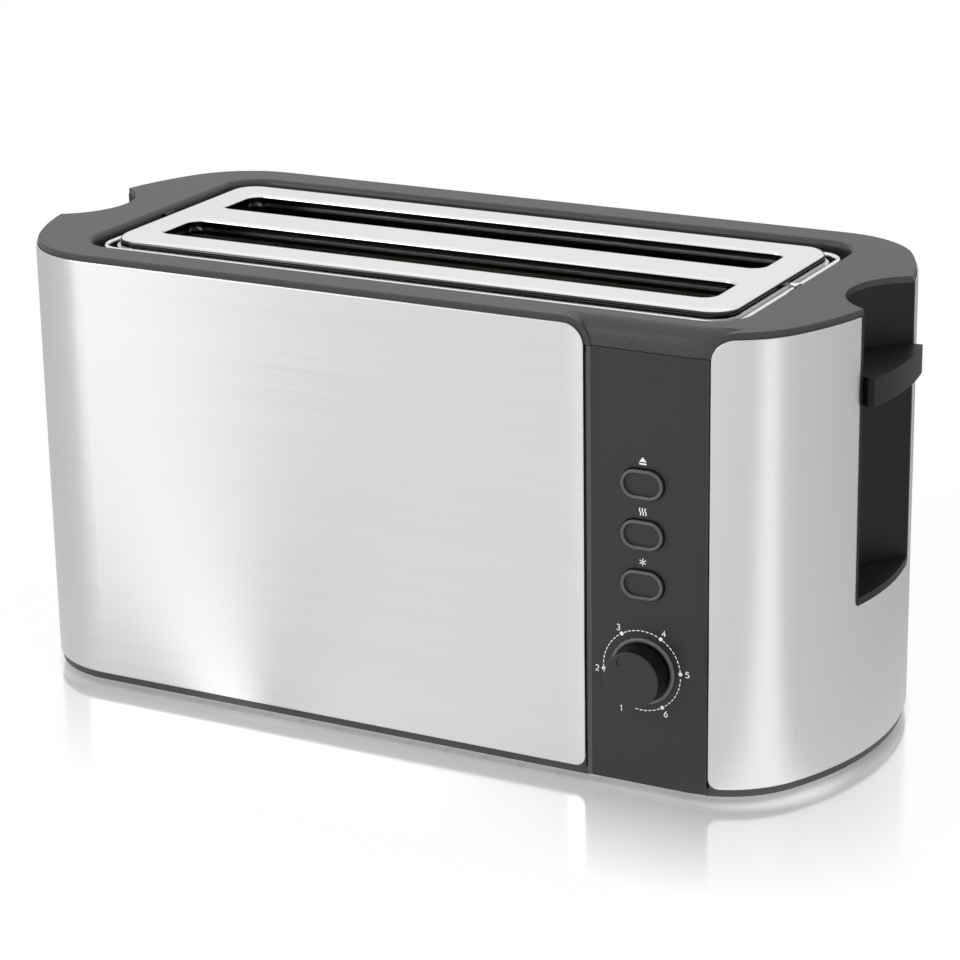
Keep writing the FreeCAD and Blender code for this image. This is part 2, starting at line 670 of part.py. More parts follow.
def make_crumb_tray():
    bottom = FLOOR_TOP + TRAY_LIFT
    back = BODY_DEPTH / 2 - HIDDEN_INSET - PLASTIC_WALL
    front = -CHASSIS_HALF_Y + TRAY_FRONT_GAP
    half = TRAY_HALF_LENGTH
    pan = box((-half, half), (front, back), (bottom, bottom + TRAY_WALL))
    inside = box((-half + TRAY_GAUGE, half - TRAY_GAUGE), (front + TRAY_GAUGE, back - TRAY_GAUGE),
                 (bottom + TRAY_GAUGE, bottom + TRAY_WALL))
    keep("crumb_tray", pan.cut(inside))
    pull_z = (STEEL_BOTTOM + PANEL_GAP, STEEL_BOTTOM + PULL_HEIGHT)
    pull = box((-half, half), (back, BODY_DEPTH / 2), pull_z)
    lip = box((-PULL_LIP_HALF, PULL_LIP_HALF), (BODY_DEPTH / 2, BODY_DEPTH / 2 + PULL_LIP),
              (pull_z[1] - PULL_LIP_HEIGHT, pull_z[1]))
    lip = lip.makeFillet(PULL_LIP_ROUND, [e for e in lip.Edges if e.BoundBox.YMin > BODY_DEPTH / 2 + SAME_PLACE
                                          and e.BoundBox.XLength > LONG_EDGE])
    keep("crumb_tray_pull", pull.fuse(lip))


def make_cord_gland():
    back = BODY_DEPTH / 2
    inner = back - STEEL_GAUGE - GLAND_FLANGE_THICKNESS
    centre = V(GLAND_X, inner, GLAND_Z)
    neck = rod(GLAND_NECK, centre, TO_BACK, back + GLAND_FLANGE_THICKNESS - inner)
    rear = rod(GLAND_FLANGE, V(GLAND_X, back, GLAND_Z), TO_BACK, GLAND_FLANGE_THICKNESS)
    front = rod(GLAND_INNER_FLANGE, centre, TO_BACK, GLAND_FLANGE_THICKNESS)
    bore = rod(GLAND_BORE, V(GLAND_X, 0, GLAND_Z), TO_BACK, BODY_DEPTH)
    keep("cord_gland", neck.fuse(rear).fuse(front).cut(bore))


# Slot plate

def make_slot_plate():
    outer = rounded_block(PLATE_HALF_X, PLATE_HALF_Y, PLATE_CORNER, LEDGE_TOP, PLATE_TOP)
    outer = outer.makeFillet(PLATE_EDGE_ROUND, edges_at_height(outer, PLATE_TOP))
    inner = rounded_block(PLATE_HALF_X - STEEL_GAUGE, PLATE_HALF_Y - STEEL_GAUGE, PLATE_CORNER - STEEL_GAUGE,
                          LEDGE_TOP, PLATE_UNDER)
    inner = inner.makeFillet(PLATE_EDGE_ROUND - STEEL_GAUGE, edges_at_height(inner, PLATE_UNDER))
    flange = rounded_block(PLATE_HALF_X + PLATE_FLANGE, PLATE_HALF_Y + PLATE_FLANGE,
                           PLATE_CORNER + PLATE_FLANGE, LEDGE_TOP, LEDGE_TOP + STEEL_GAUGE)
    lip_top = PLATE_TOP - PLATE_LIP_DROP
    lip = rounded_block(PLATE_HALF_X + PLATE_LIP, PLATE_HALF_Y + PLATE_LIP, PLATE_CORNER + PLATE_LIP,
                        lip_top - STEEL_GAUGE, lip_top)
    plate = outer.fuse(flange).fuse(lip).cut(inner)
    for side in (-1, 1):
        centre = (0, side * SLOT_Y)
        collar = rounded_block(SLOT_HALF_X + STEEL_GAUGE, SLOT_WIDTH / 2 + STEEL_GAUGE,
                               SLOT_CORNER + STEEL_GAUGE, PLATE_TOP - SLOT_FLANGE, PLATE_TOP, centre)
        plate = plate.fuse(collar).removeSplitter()
        plate = plate.cut(rounded_block(SLOT_HALF_X, SLOT_WIDTH / 2, SLOT_CORNER, 0, 2 * BODY_HEIGHT, centre))
    mouths = []
    for edge in edges_at_height(plate, PLATE_TOP):
        bounds = edge.BoundBox
        inside_x = max(abs(bounds.XMin), abs(bounds.XMax)) < SLOT_HALF_X + SAME_PLACE
        inside_y = max(abs(bounds.YMin), abs(bounds.YMax)) < SLOT_Y + SLOT_WIDTH / 2 + SAME_PLACE
        if inside_x and inside_y:
            mouths.append(edge)
    plate = plate.makeFillet(SLOT_EDGE_ROUND, mouths)
    pivot = V(-RACK_X, REAR_PIVOT_Y, RACK_Z)
    keep("slot_plate", plate.cut(rod(RACK_WIRE + PIN_CLEARANCE, pivot, ALONG_X, 2 * RACK_X)))


# Control panel and what it carries

def post_places():
    return [(x, z) for x in (BOARD_LEFT + POST_INSET, BOARD_RIGHT - POST_INSET)
            for z in (BOARD_BOTTOM + POST_INSET, BOARD_TOP - POST_INSET)]


def front_wall_y(x, inset):
    """How far forward the body's front stands at a place along its length."""
    corner = CORNER_RADIUS - inset
    corner_y = BODY_DEPTH / 2 - CORNER_RADIUS
    corner_x = END_CENTRE_X + math.sqrt((END_RADIUS - CORNER_RADIUS) ** 2 - corner_y ** 2)
    into_corner = max(0, abs(x) - corner_x)
    return -corner_y - math.sqrt(corner ** 2 - into_corner ** 2)


def panel_rim(edge_x, inward, top):
    """The sloping edge that brings the control panel's face up to the steel."""
    inner_x = edge_x + inward * PANEL_RIM
    deep = PANEL_INSET + PANEL_THICKNESS / 2
    corners = [
        V(edge_x, front_wall_y(edge_x, COVER_INSET), 0),
        V(edge_x, front_wall_y(edge_x, deep), 0),
        V(inner_x, front_wall_y(inner_x, deep), 0),
        V(inner_x, front_wall_y(inner_x, PANEL_INSET), 0),
    ]
    return prism(Part.makePolygon(corners + corners[:1]), BASE_BOTTOM, top)


def make_control_panel():
    back_inset = PANEL_INSET + PANEL_THICKNESS
    top = PANEL_TOP - PANEL_GAP
    left = PANEL_LEFT + PANEL_SEAM
    right = PANEL_RIGHT - PANEL_SEAM
    panel = front_span(body_ring(PANEL_INSET, back_inset, BASE_BOTTOM, top), left, right)
    foot = body_ring(COVER_INSET, back_inset, BASE_BOTTOM, STEEL_BOTTOM)
    panel = panel.fuse(front_span(foot, PANEL_LEFT, left)).fuse(front_span(foot, right, PANEL_RIGHT))
    lap = body_ring(PANEL_INSET, back_inset, STEEL_BOTTOM + BASE_WALL_HEIGHT + PANEL_GAP,
                    SKIRT_BOTTOM - PANEL_GAP)
    panel = panel.fuse(front_span(lap, PANEL_LEFT - PANEL_LAP, PANEL_RIGHT + PANEL_LAP))
    panel = panel.fuse(panel_rim(left, 1, top)).fuse(panel_rim(right, -1, top))
    for height in BUTTON_HEIGHTS:
        hole = stadium(BUTTON_WIDTH + 2 * RUNNING_GAP, BUTTON_HEIGHT + 2 * RUNNING_GAP,
                       FRONT_Y - CUT_PAST, PANEL_BACK_Y + CUT_PAST, (CONTROL_X, height))
        panel = panel.cut(hole)
    panel = panel.cut(rod(SHAFT_RADIUS + SHAFT_HOLE_GAP, V(CONTROL_X, -BODY_DEPTH, DIAL_HEIGHT), TO_BACK,
                          BODY_DEPTH))
    for x, z in post_places():
        post = rod(POST_RADIUS, V(x, PANEL_BACK_Y - PANEL_THICKNESS / 2, z), TO_BACK,
                   BOARD_SETBACK + PANEL_THICKNESS / 2)
        panel = panel.fuse(post)
    for x, z in post_places():
        panel = panel.cut(rod(SCREW_RADIUS, V(x, BOARD_FRONT_Y - POST_BORE_DEPTH, z), TO_BACK, POST_BORE_DEPTH))
    keep("control_panel", panel)


def make_buttons():
    for name, height in zip(("defrost_button", "reheat_button", "stop_button"), BUTTON_HEIGHTS):
        centre = (CONTROL_X, height)
        front = PANEL_FRONT_Y - BUTTON_PROUD
        flange_y = PANEL_BACK_Y + RUNNING_GAP
        cap = stadium(BUTTON_WIDTH, BUTTON_HEIGHT, front, flange_y, centre)
        outer_edges = [e for e in cap.Edges if e.BoundBox.YMax < front + SAME_PLACE]
        cap = cap.makeFillet(BUTTON_EDGE, outer_edges)
        dish = stadium(BUTTON_WIDTH - 2 * BUTTON_RIM, BUTTON_HEIGHT - 2 * BUTTON_RIM, front,
                       front + BUTTON_DISH, centre)
        cap = cap.cut(dish)
        flange = stadium(BUTTON_WIDTH + 2 * BUTTON_FLANGE, BUTTON_HEIGHT + 2 * BUTTON_FLANGE, flange_y,
                         flange_y + BUTTON_FLANGE_THICKNESS, centre)
        stem_start = V(CONTROL_X, flange_y, height)
        stem_end = BOARD_FRONT_Y - SWITCH_DEPTH + BUTTON_TRAVEL + STEM_INTO_SWITCH
        stem = rod(STEM_RADIUS, stem_start, TO_BACK, stem_end - flange_y)
        keep(name, cap.fuse(flange).fuse(stem))


def make_dial():
    axis_point = V(CONTROL_X, PANEL_FRONT_Y, DIAL_HEIGHT)
    ring_start = axis_point - TO_BACK * RING_PROUD
    inner = KNOB_RADIUS + KNOB_FLOAT
    ring = tube(inner + RING_WIDTH, inner, ring_start, TO_BACK, RING_PROUD)
    ring = ring.makeFillet(RING_EDGE, [e for e in ring.Edges if e.BoundBox.YMax < ring_start.y + SAME_PLACE])
    keep("knob_ring", ring)

    front = axis_point - TO_BACK * KNOB_PROUD
    knob = rod(KNOB_RADIUS, front, TO_BACK, KNOB_PROUD - KNOB_FLOAT)
    knob = knob.makeFillet(KNOB_EDGE, [e for e in knob.Edges if e.BoundBox.YMax < front.y + SAME_PLACE])
    turn = math.radians(KNOB_MARK_ANGLE)
    mark = front + V(math.cos(turn), 0, math.sin(turn)) * KNOB_MARK_PLACE
    knob = knob.cut(rod(KNOB_MARK_RADIUS, mark, TO_BACK, KNOB_MARK_DEPTH))
    shaft_tip = axis_point.y - KNOB_FLOAT - SHAFT_GRIP
    bore_length = SHAFT_GRIP + KNOB_FLOAT
    bore_start = V(CONTROL_X, shaft_tip - RUNNING_GAP, DIAL_HEIGHT)
    knob = knob.cut(rod(SHAFT_RADIUS + PIN_CLEARANCE, bore_start, TO_BACK, bore_length + CUT_PAST))
    keep("browning_knob", knob)

    pot_front = BOARD_FRONT_Y - POT_DEPTH
    half = POT_SIDE / 2
    body = box((CONTROL_X - half, CONTROL_X + half), (pot_front, BOARD_FRONT_Y),
               (DIAL_HEIGHT - half, DIAL_HEIGHT + half))
    body = body.cut(rod(SHAFT_RADIUS + PIN_CLEARANCE, V(CONTROL_X, pot_front, DIAL_HEIGHT), TO_BACK,
                        POT_DEPTH / 2))
    keep("potentiometer_body", body)
    shaft_start = V(CONTROL_X, shaft_tip, DIAL_HEIGHT)
    shaft_end = pot_front + POT_DEPTH / 2 - RUNNING_GAP
    shaft = rod(SHAFT_RADIUS, shaft_start, TO_BACK, shaft_end - shaft_tip)
    flat = box((CONTROL_X - SHAFT_RADIUS, CONTROL_X + SHAFT_RADIUS), (shaft_tip, shaft_tip + SHAFT_GRIP),
               (DIAL_HEIGHT + SHAFT_RADIUS - SHAFT_FLAT, DIAL_HEIGHT + SHAFT_RADIUS))
    keep("potentiometer_shaft", shaft.cut(flat))


def make_control_board():
    board = box((BOARD_LEFT, BOARD_RIGHT), (BOARD_FRONT_Y, BOARD_FRONT_Y + BOARD_THICKNESS),
                (BOARD_BOTTOM, BOARD_TOP))
    screws = []
    for x, z in post_places():
        hole = rod(SCREW_RADIUS + ASSEMBLY_GAP, V(x, BOARD_FRONT_Y, z), TO_BACK, BOARD_THICKNESS)
        board = board.cut(hole)
        shank = rod(SCREW_RADIUS - ASSEMBLY_GAP, V(x, BOARD_FRONT_Y - BOARD_SCREW_REACH, z), TO_BACK,
                    BOARD_SCREW_REACH + BOARD_THICKNESS)
        head = rod(SCREW_HEAD_RADIUS, V(x, BOARD_FRONT_Y + BOARD_THICKNESS, z), TO_BACK, SCREW_HEAD)
        screws.append(shank.fuse(head))
    keep("control_board", board)
    keep("board_screws", Part.makeCompound(screws))
    switches = []
    half = SWITCH_SIDE / 2
    for height in BUTTON_HEIGHTS:
        block = box((CONTROL_X - half, CONTROL_X + half), (BOARD_FRONT_Y - SWITCH_DEPTH, BOARD_FRONT_Y),
                    (height - half, height + half))
        bore = rod(SWITCH_BORE, V(CONTROL_X, BOARD_FRONT_Y - SWITCH_DEPTH, height), TO_BACK,
                   SWITCH_DEPTH - SWITCH_FLOOR)
        switches.append(block.cut(bore))
    keep("button_switches", Part.makeCompound(switches))
    back = BOARD_FRONT_Y + BOARD_THICKNESS
    chip_x, chip_z, chip_y = CHIP_SIZE
    chip_low = (BUTTON_HEIGHTS[0] + BUTTON_HEIGHTS[1]) / 2
    keep("timer_chip", box((CONTROL_X - chip_x / 2, CONTROL_X + chip_x / 2), (back, back + chip_y),
                           (chip_low - chip_z / 2, chip_low + chip_z / 2)))
    cans = []
    for side in (-1, 1):
        start = V(CONTROL_X + side * CAPACITOR_ASIDE, back, DIAL_HEIGHT)
        cans.append(rod(CAPACITOR_RADIUS, start, TO_BACK, CAPACITOR_LENGTH))
    keep("board_capacitors", Part.makeCompound(cans))


# Toasting chamber

def rail_windows(side):
    """The upright slots in a chassis plate that the rails travel in."""
    half = RAIL_THICKNESS / 2 + RAIL_WINDOW_GAP
    low = RAIL_BOTTOM - LEVER_TRAVEL - RAIL_WINDOW_GAP
    high = RAIL_TOP + RAIL_WINDOW_GAP
    x = sorted((side * (CHASSIS_X - CUT_PAST), side * (CHASSIS_OUT + CUT_PAST)))
    return [box(x, (y - half, y + half), (low, high)) for y in (-SLOT_Y, SLOT_Y)]


def grid_places():
    """Each guard grid's name, its rest plane and the side it leans away from."""
    return [
        ("front_slot_front_grid", -SLOT_Y - GRID_OFFSET, -1),
        ("front_slot_rear_grid", -SLOT_Y + GRID_OFFSET, 1),
        ("rear_slot_front_grid", SLOT_Y - GRID_OFFSET, -1),
        ("rear_slot_rear_grid", SLOT_Y + GRID_OFFSET, 1),
    ]


def make_chassis_plate(name, side):
    """An end wall of the chamber with its bent-out top and bottom flanges."""
    plate = box(sorted((side * CHASSIS_X, side * CHASSIS_OUT)), (-CHASSIS_HALF_Y, CHASSIS_HALF_Y),
                (CHASSIS_FLOOR, PLATE_UNDER))
    reach = sorted((side * CHASSIS_X, side * (CHASSIS_OUT + FLANGE_REACH)))
    for bottom in (CHASSIS_FLOOR, TOP_FLANGE_Z - CHASSIS_GAUGE):
        plate = plate.fuse(box(reach, (-FLANGE_HALF_WIDTH, FLANGE_HALF_WIDTH), (bottom, bottom + CHASSIS_GAUGE)))
    for window in rail_windows(side):
        plate = plate.cut(window)
    for _, y, _ in grid_places():
        plate = plate.cut(rod(GRID_PIN + PIN_CLEARANCE, V(side * CHASSIS_X - CUT_PAST, y, GRID_BOTTOM), ALONG_X,
                              2 * CUT_PAST))
    for x, y in boss_places():
        plate = plate.cut(rod(SCREW_RADIUS + ASSEMBLY_GAP, V(x, y, 0), UP, CHASSIS_FLOOR + CUT_PAST))
    guide_y = GUIDE_ASIDE if side > 0 else 0
    plate = plate.cut(rod(GUIDE_RADIUS + PIN_CLEARANCE, V(side * GUIDE_X, guide_y, CHASSIS_FLOOR - CUT_PAST), UP,
                          BODY_HEIGHT))
    keep(name, plate)


def make_guide_rods():
    length = TOP_FLANGE_Z - CHASSIS_FLOOR
    keep("lever_guide_rod", rod(GUIDE_RADIUS, V(GUIDE_X, GUIDE_ASIDE, CHASSIS_FLOOR), UP, length))
    keep("left_guide_rod", rod(GUIDE_RADIUS, V(-GUIDE_X, 0, CHASSIS_FLOOR), UP, length))


def make_reflectors():
    inner = CHASSIS_HALF_Y - REFLECTOR_TO_CHASSIS
    for name, side in (("front_reflector", -1), ("rear_reflector", 1)):
        y = sorted((side * inner, side * (inner - REFLECTOR_GAUGE)))
        keep(name, box((-CHASSIS_X, CHASSIS_X), y,
                       (HEATER_BOTTOM - REFLECTOR_BELOW, HEATER_TOP + REFLECTOR_ABOVE)))


def ribbon(face_y, side):
    """A flat heating ribbon folded back and forth over one face of a heater board."""
    y = sorted((face_y, face_y + side * RIBBON_THICKNESS))
    left = -CHASSIS_X + RIBBON_MARGIN
    right = CHASSIS_X - RIBBON_MARGIN
    low = HEATER_BOTTOM + RIBBON_MARGIN
    step = (HEATER_TOP - HEATER_BOTTOM - 2 * RIBBON_MARGIN - RIBBON_WIDTH) / (RIBBON_ROWS - 1)
    solid = None
    for row in range(RIBBON_ROWS):
        z = low + row * step
        run = box((left, right), y, (z, z + RIBBON_WIDTH))
        solid = run if solid is None else solid.fuse(run)
        if row < RIBBON_ROWS - 1:
            x = right if row % 2 == 0 else left + RIBBON_WIDTH
            solid = solid.fuse(box((x - RIBBON_WIDTH, x), y, (z, z + step + RIBBON_WIDTH)))
    return solid.removeSplitter()


def make_heaters():
    y = CHASSIS_HALF_Y - BOARD_TO_CHASSIS
    z = (HEATER_BOTTOM, HEATER_TOP)
    x = (-CHASSIS_X, CHASSIS_X)
    keep("front_heater_board", box(x, (-y, -y + MICA), z))
    keep("rear_heater_board", box(x, (y - MICA, y), z))
    keep("centre_heater_board", box(x, (-MICA / 2, MICA / 2), z))
    keep("front_heater_winding", ribbon(-y + MICA, 1))
    keep("rear_heater_winding", ribbon(y - MICA, -1))
    keep("centre_heater_windings", Part.makeCompound([ribbon(-MICA / 2, -1), ribbon(MICA / 2, 1)]))


def make_guard_grids():
    """Four grids of upright wires, each turning on its bottom rod."""
    reach = CHASSIS_X - GRID_INSET
    for name, y, _ in grid_places():
        pin_end = CHASSIS_OUT + GRID_PIN_REACH
        pin = rod(GRID_PIN, V(-pin_end, y, GRID_BOTTOM), ALONG_X, 2 * pin_end)
        grid = pin.fuse(rod(GRID_WIRE, V(-reach, y, GRID_TOP), ALONG_X, 2 * reach))
        for index in range(GRID_BARS):
            x = (reach - GRID_BAR_INSET) * (2 * index / (GRID_BARS - 1) - 1)
            grid = grid.fuse(rod(GRID_WIRE, V(x, y, GRID_BOTTOM), UP, GRID_TOP - GRID_BOTTOM))
        keep(name, grid)


# Carriage

def make_bread_rails():
    half_tab = SLOT_WIDTH / 2 - RAIL_TO_GRID
    for name, y in (("front_bread_rail", -SLOT_Y), ("rear_bread_rail", SLOT_Y)):
        rail = box((-CARRIAGE_X, CARRIAGE_X), (y - RAIL_THICKNESS / 2, y + RAIL_THICKNESS / 2),
                   (RAIL_BOTTOM, RAIL_TOP))
        for index in range(RAIL_TABS):
            x = (index - (RAIL_TABS - 1) / 2) * 2 * SLOT_HALF_X / RAIL_TABS
            tab = box((x - RAIL_THICKNESS / 2, x + RAIL_THICKNESS / 2), (y - half_tab, y + half_tab),
                      (RAIL_TOP - RAIL_TAB_HEIGHT, RAIL_TOP))
            rail = rail.fuse(tab)
        keep(name, rail)


def make_carriage():
    half_bar = SLOT_Y + CARRIAGE_REACH
    cross = box((CARRIAGE_X, CARRIAGE_OUT), (-half_bar, half_bar), (RAIL_BOTTOM, RAIL_TOP))
    riser = box((CARRIAGE_X, CARRIAGE_OUT), (-RISER_FRONT, GUIDE_ASIDE + RISER_PAST_GUIDE),
                (RAIL_BOTTOM, ARM_TOP))
    keep("carriage_bracket", cross.fuse(riser))
    outer = GUIDE_RADIUS + BUSHING_WALL
    height = 2 * RAIL_HEIGHT
    foot = box((CARRIAGE_OUT, GUIDE_X), (GUIDE_ASIDE - BUSHING_FOOT_HALF, GUIDE_ASIDE + BUSHING_FOOT_HALF),
               (RAIL_BOTTOM, RAIL_BOTTOM + height))
    sleeve = rod(outer, V(GUIDE_X, GUIDE_ASIDE, RAIL_BOTTOM), UP, height)
    bore = rod(GUIDE_RADIUS + PIN_CLEARANCE, V(GUIDE_X, GUIDE_ASIDE, RAIL_BOTTOM), UP, height)
    keep("guide_bushing", sleeve.fuse(foot).cut(bore))
    left = box((-CARRIAGE_OUT, -CARRIAGE_X), (-half_bar, half_bar), (RAIL_BOTTOM, RAIL_TOP))
    left = left.fuse(box((-GUIDE_X, -CARRIAGE_X), (-BUSHING_FOOT_HALF, BUSHING_FOOT_HALF),
                         (RAIL_BOTTOM, RAIL_TOP)))
    left = left.fuse(rod(outer, V(-GUIDE_X, 0, RAIL_BOTTOM), UP, RAIL_HEIGHT))
    left = left.cut(rod(GUIDE_RADIUS + PIN_CLEARANCE, V(-GUIDE_X, 0, RAIL_BOTTOM), UP, RAIL_HEIGHT))
    keep("left_slider", left)
    arm_end = SCOOP_CENTRE_X - SCOOP_RADIUS + LEVER_CLEARANCE + ARM_GRIP
    arm = box((CARRIAGE_OUT, arm_end), (-ARM_THICKNESS / 2, ARM_THICKNESS / 2), (ARM_BOTTOM, ARM_TOP))
    keep("lever_arm", arm)
    keep("latch_armature", box((CARRIAGE_OUT, MAGNET_X + ARMATURE_HALF),
                               (MAGNET_Y - ARMATURE_HALF_DEPTH, MAGNET_Y + ARMATURE_HALF_DEPTH),
                               (ARMATURE_BOTTOM, ARMATURE_BOTTOM + ARMATURE_THICKNESS)))


def make_lever():
    outer = rod(END_RADIUS + LEVER_PROUD, V(END_CENTRE_X, 0, LEVER_BOTTOM), UP, LEVER_THICKNESS)
    paddle = outer.common(scoop_cylinder(SCOOP_RADIUS - LEVER_CLEARANCE, LEVER_BOTTOM, LEVER_TOP, 1))
    paddle = paddle.common(box((END_CENTRE_X, BODY_LENGTH), (-LEVER_HALF_WIDTH, LEVER_HALF_WIDTH),
                               (0, BODY_HEIGHT)))
    pocket_end = SCOOP_CENTRE_X - SCOOP_RADIUS + LEVER_CLEARANCE + ARM_GRIP + ASSEMBLY_GAP
    half = ARM_THICKNESS / 2 + ASSEMBLY_GAP / 2
    pocket = box((0, pocket_end), (-half, half), (ARM_BOTTOM - ASSEMBLY_GAP / 2, ARM_TOP + ASSEMBLY_GAP / 2))
    keep("lever_paddle", paddle.cut(pocket))


def make_lift_spring():
    """The tension spring that lifts the carriage, between the top flange and the bushing."""
    low = RAIL_BOTTOM + 2 * RAIL_HEIGHT + RUNNING_GAP + SPRING_WIRE
    high = TOP_FLANGE_Z - CHASSIS_GAUGE - RUNNING_GAP - SPRING_WIRE
    pitch = (high - low) / SPRING_TURNS
    radius = GUIDE_RADIUS + SPRING_RADIUS - SPRING_WIRE
    helix = Part.makeHelix(pitch, high - low, radius)
    profile = Part.Wire(Part.makeCircle(SPRING_WIRE, V(radius, 0, 0), TO_BACK))
    spring = Part.Wire(helix).makePipeShell([profile], True, True)
    spring.translate(V(GUIDE_X, GUIDE_ASIDE, low))
    keep("lift_spring", spring)


def make_magnet():
    foot = V(MAGNET_X, MAGNET_Y, FLANGE_TOP_FACE)
    keep("magnet_core", rod(CORE_RADIUS, foot, UP, CORE_HEIGHT))
    coil = tube(COIL_RADIUS, CORE_RADIUS + ASSEMBLY_GAP, foot + UP * RUNNING_GAP, UP, COIL_HEIGHT)
    keep("magnet_coil", coil)
    x, y, z = POWER_SWITCH_SIZE
    low = V(CHASSIS_OUT + POWER_SWITCH_OFFSET, GUIDE_ASIDE + POWER_SWITCH_OFFSET, FLANGE_TOP_FACE)
    keep("power_switch", box((low.x, low.x + x), (low.y, low.y + y), (low.z, low.z + z)))
    x, y, z = TERMINAL_SIZE
    low = V(-CHASSIS_OUT - FLANGE_REACH / 2 - x / 2, TERMINAL_ASIDE, FLANGE_TOP_FACE)
    block = box((low.x, low.x + x), (low.y, low.y + y), (low.z, low.z + z))
    for way in (0.25, 0.75):
        block = block.cut(rod(TERMINAL_HOLE, V(low.x + x / 2, low.y + y * way, low.z + z / 2), UP, z))
    keep("terminal_block", block)


# Rack wires

def rack_wire(bar_y, pivot_y, pin_reach):
    """One U of wire round a long side of the plate, its legs ending in pivot pins turned out or in."""
    half = [
        V(RACK_X + pin_reach, pivot_y, RACK_Z),
        V(RACK_X, pivot_y, RACK_Z),
        V(RACK_X, bar_y, RACK_Z),
    ]
    other = [V(-p.x, p.y, p.z) for p in reversed(half)]
    return bent_wire(half + other, RACK_WIRE, [RACK_BEND, RACK_CORNER, RACK_CORNER, RACK_BEND])


def make_rack():
    keep("rack_front_wire", rack_wire(-PLATE_HALF_Y - RACK_FRONT_OUT, FRONT_PIVOT_Y, FRONT_PIN))
    keep("rack_rear_wire", rack_wire(PLATE_HALF_Y + RACK_REAR_OUT, REAR_PIVOT_Y, -REAR_PIN))
    ears = []
    for side in (-1, 1):
        reach = sorted((side * (RACK_X + RACK_BEND + ASSEMBLY_GAP), side * WELL_HALF_X))
        ear = box(reach, (FRONT_PIVOT_Y - RACK_EAR, FRONT_PIVOT_Y + RACK_EAR),
                  (LEDGE_TOP, RACK_Z + RACK_WIRE + STEEL_GAUGE))
        ear = ear.cut(rod(RACK_WIRE + PIN_CLEARANCE, V(reach[0], FRONT_PIVOT_Y, RACK_Z), ALONG_X,
                          reach[1] - reach[0]))
        ears.append(ear)
    keep("rack_ears", Part.makeCompound(ears))


def main():
    make_steel_panels()
    make_top_cover()
    make_scoop_liner("lever_scoop_liner", 1, True)
    make_scoop_liner("grip_scoop_liner", -1, False)
    make_base()
    make_crumb_tray()
    make_cord_gland()
    make_slot_plate()
    make_control_panel()
    make_buttons()
    make_dial()
    make_control_board()
    make_chassis_plate("left_chassis_plate", -1)
    make_chassis_plate("right_chassis_plate", 1)
    make_guide_rods()
    make_reflectors()
    make_heaters()
    make_guard_grids()
    make_bread_rails()
    make_carriage()
    make_lever()
    make_lift_spring()
    make_magnet()
    make_rack()

    os.makedirs("parts", exist_ok=True)
    for name, shape in pieces.items():
        placed = shape.copy()
        placed.translate(SHIFT)
        placed.exportStep(f"parts/{name}.step")
        solids = len(placed.Solids)
        print(f"{name}: {solids} solid(s), valid {placed.isValid()}, volume {placed.Volume / 1000:.2f} cm3")
    print(f"{len(pieces)} nodes")


main()
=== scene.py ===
import json
import math

import bmesh
import bpy
from mathutils import Matrix, Vector


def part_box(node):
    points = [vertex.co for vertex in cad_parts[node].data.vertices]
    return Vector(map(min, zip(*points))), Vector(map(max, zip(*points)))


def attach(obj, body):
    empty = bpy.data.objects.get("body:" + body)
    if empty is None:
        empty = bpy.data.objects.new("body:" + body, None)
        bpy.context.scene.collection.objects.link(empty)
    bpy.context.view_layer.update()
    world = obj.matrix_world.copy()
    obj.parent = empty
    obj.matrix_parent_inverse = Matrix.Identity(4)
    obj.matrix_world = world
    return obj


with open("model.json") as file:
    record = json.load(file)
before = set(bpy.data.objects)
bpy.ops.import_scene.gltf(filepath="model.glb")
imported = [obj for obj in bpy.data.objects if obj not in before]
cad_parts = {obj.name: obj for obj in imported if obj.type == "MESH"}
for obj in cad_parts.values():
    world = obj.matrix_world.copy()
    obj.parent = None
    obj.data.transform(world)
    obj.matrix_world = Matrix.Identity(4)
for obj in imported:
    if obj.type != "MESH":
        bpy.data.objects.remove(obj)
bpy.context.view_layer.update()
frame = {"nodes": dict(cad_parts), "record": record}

MM = 0.001

# Places read from the frame
PANEL_LOW, PANEL_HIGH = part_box("control_panel")
KNOB_LOW, KNOB_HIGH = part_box("browning_knob")
STEEL_LOW, STEEL_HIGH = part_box("main_steel_panel")
RIGHT_LOW, RIGHT_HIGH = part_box("right_steel_panel")
RING_LOW, RING_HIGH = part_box("knob_ring")
DIAL = Vector(((KNOB_LOW.x + KNOB_HIGH.x) / 2, RING_HIGH.y, (KNOB_LOW.z + KNOB_HIGH.z) / 2))
BODY_CENTRE = Vector(((STEEL_LOW.x + RIGHT_HIGH.x) / 2, (STEEL_LOW.y + STEEL_HIGH.y) / 2, 0))

# The body's round corner beside the controls
CORNER_RADIUS = 45 * MM
END_RADIUS = 132 * MM
PANEL_INSET = 1.6 * MM


def panel_face_y(x):
    """Where the control panel's face stands at a place along its length."""
    corner_y = (STEEL_HIGH.y - STEEL_LOW.y) / 2 - CORNER_RADIUS
    end_centre = (RIGHT_HIGH.x - STEEL_LOW.x) / 2 - END_RADIUS
    corner_x = end_centre + math.sqrt((END_RADIUS - CORNER_RADIUS) ** 2 - corner_y ** 2)
    past = max(0, x - BODY_CENTRE.x - corner_x)
    return BODY_CENTRE.y - corner_y - math.sqrt((CORNER_RADIUS - PANEL_INSET) ** 2 - past ** 2)


# Node helpers

def new_material(name):
    made = bpy.data.materials.new(name)
    made.use_nodes = True
    made.node_tree.nodes.clear()
    out = made.node_tree.nodes.new("ShaderNodeOutputMaterial")
    shader = made.node_tree.nodes.new("ShaderNodeBsdfPrincipled")
    made.node_tree.links.new(shader.outputs[0], out.inputs[0])
    return made, made.node_tree.nodes, made.node_tree.links, shader


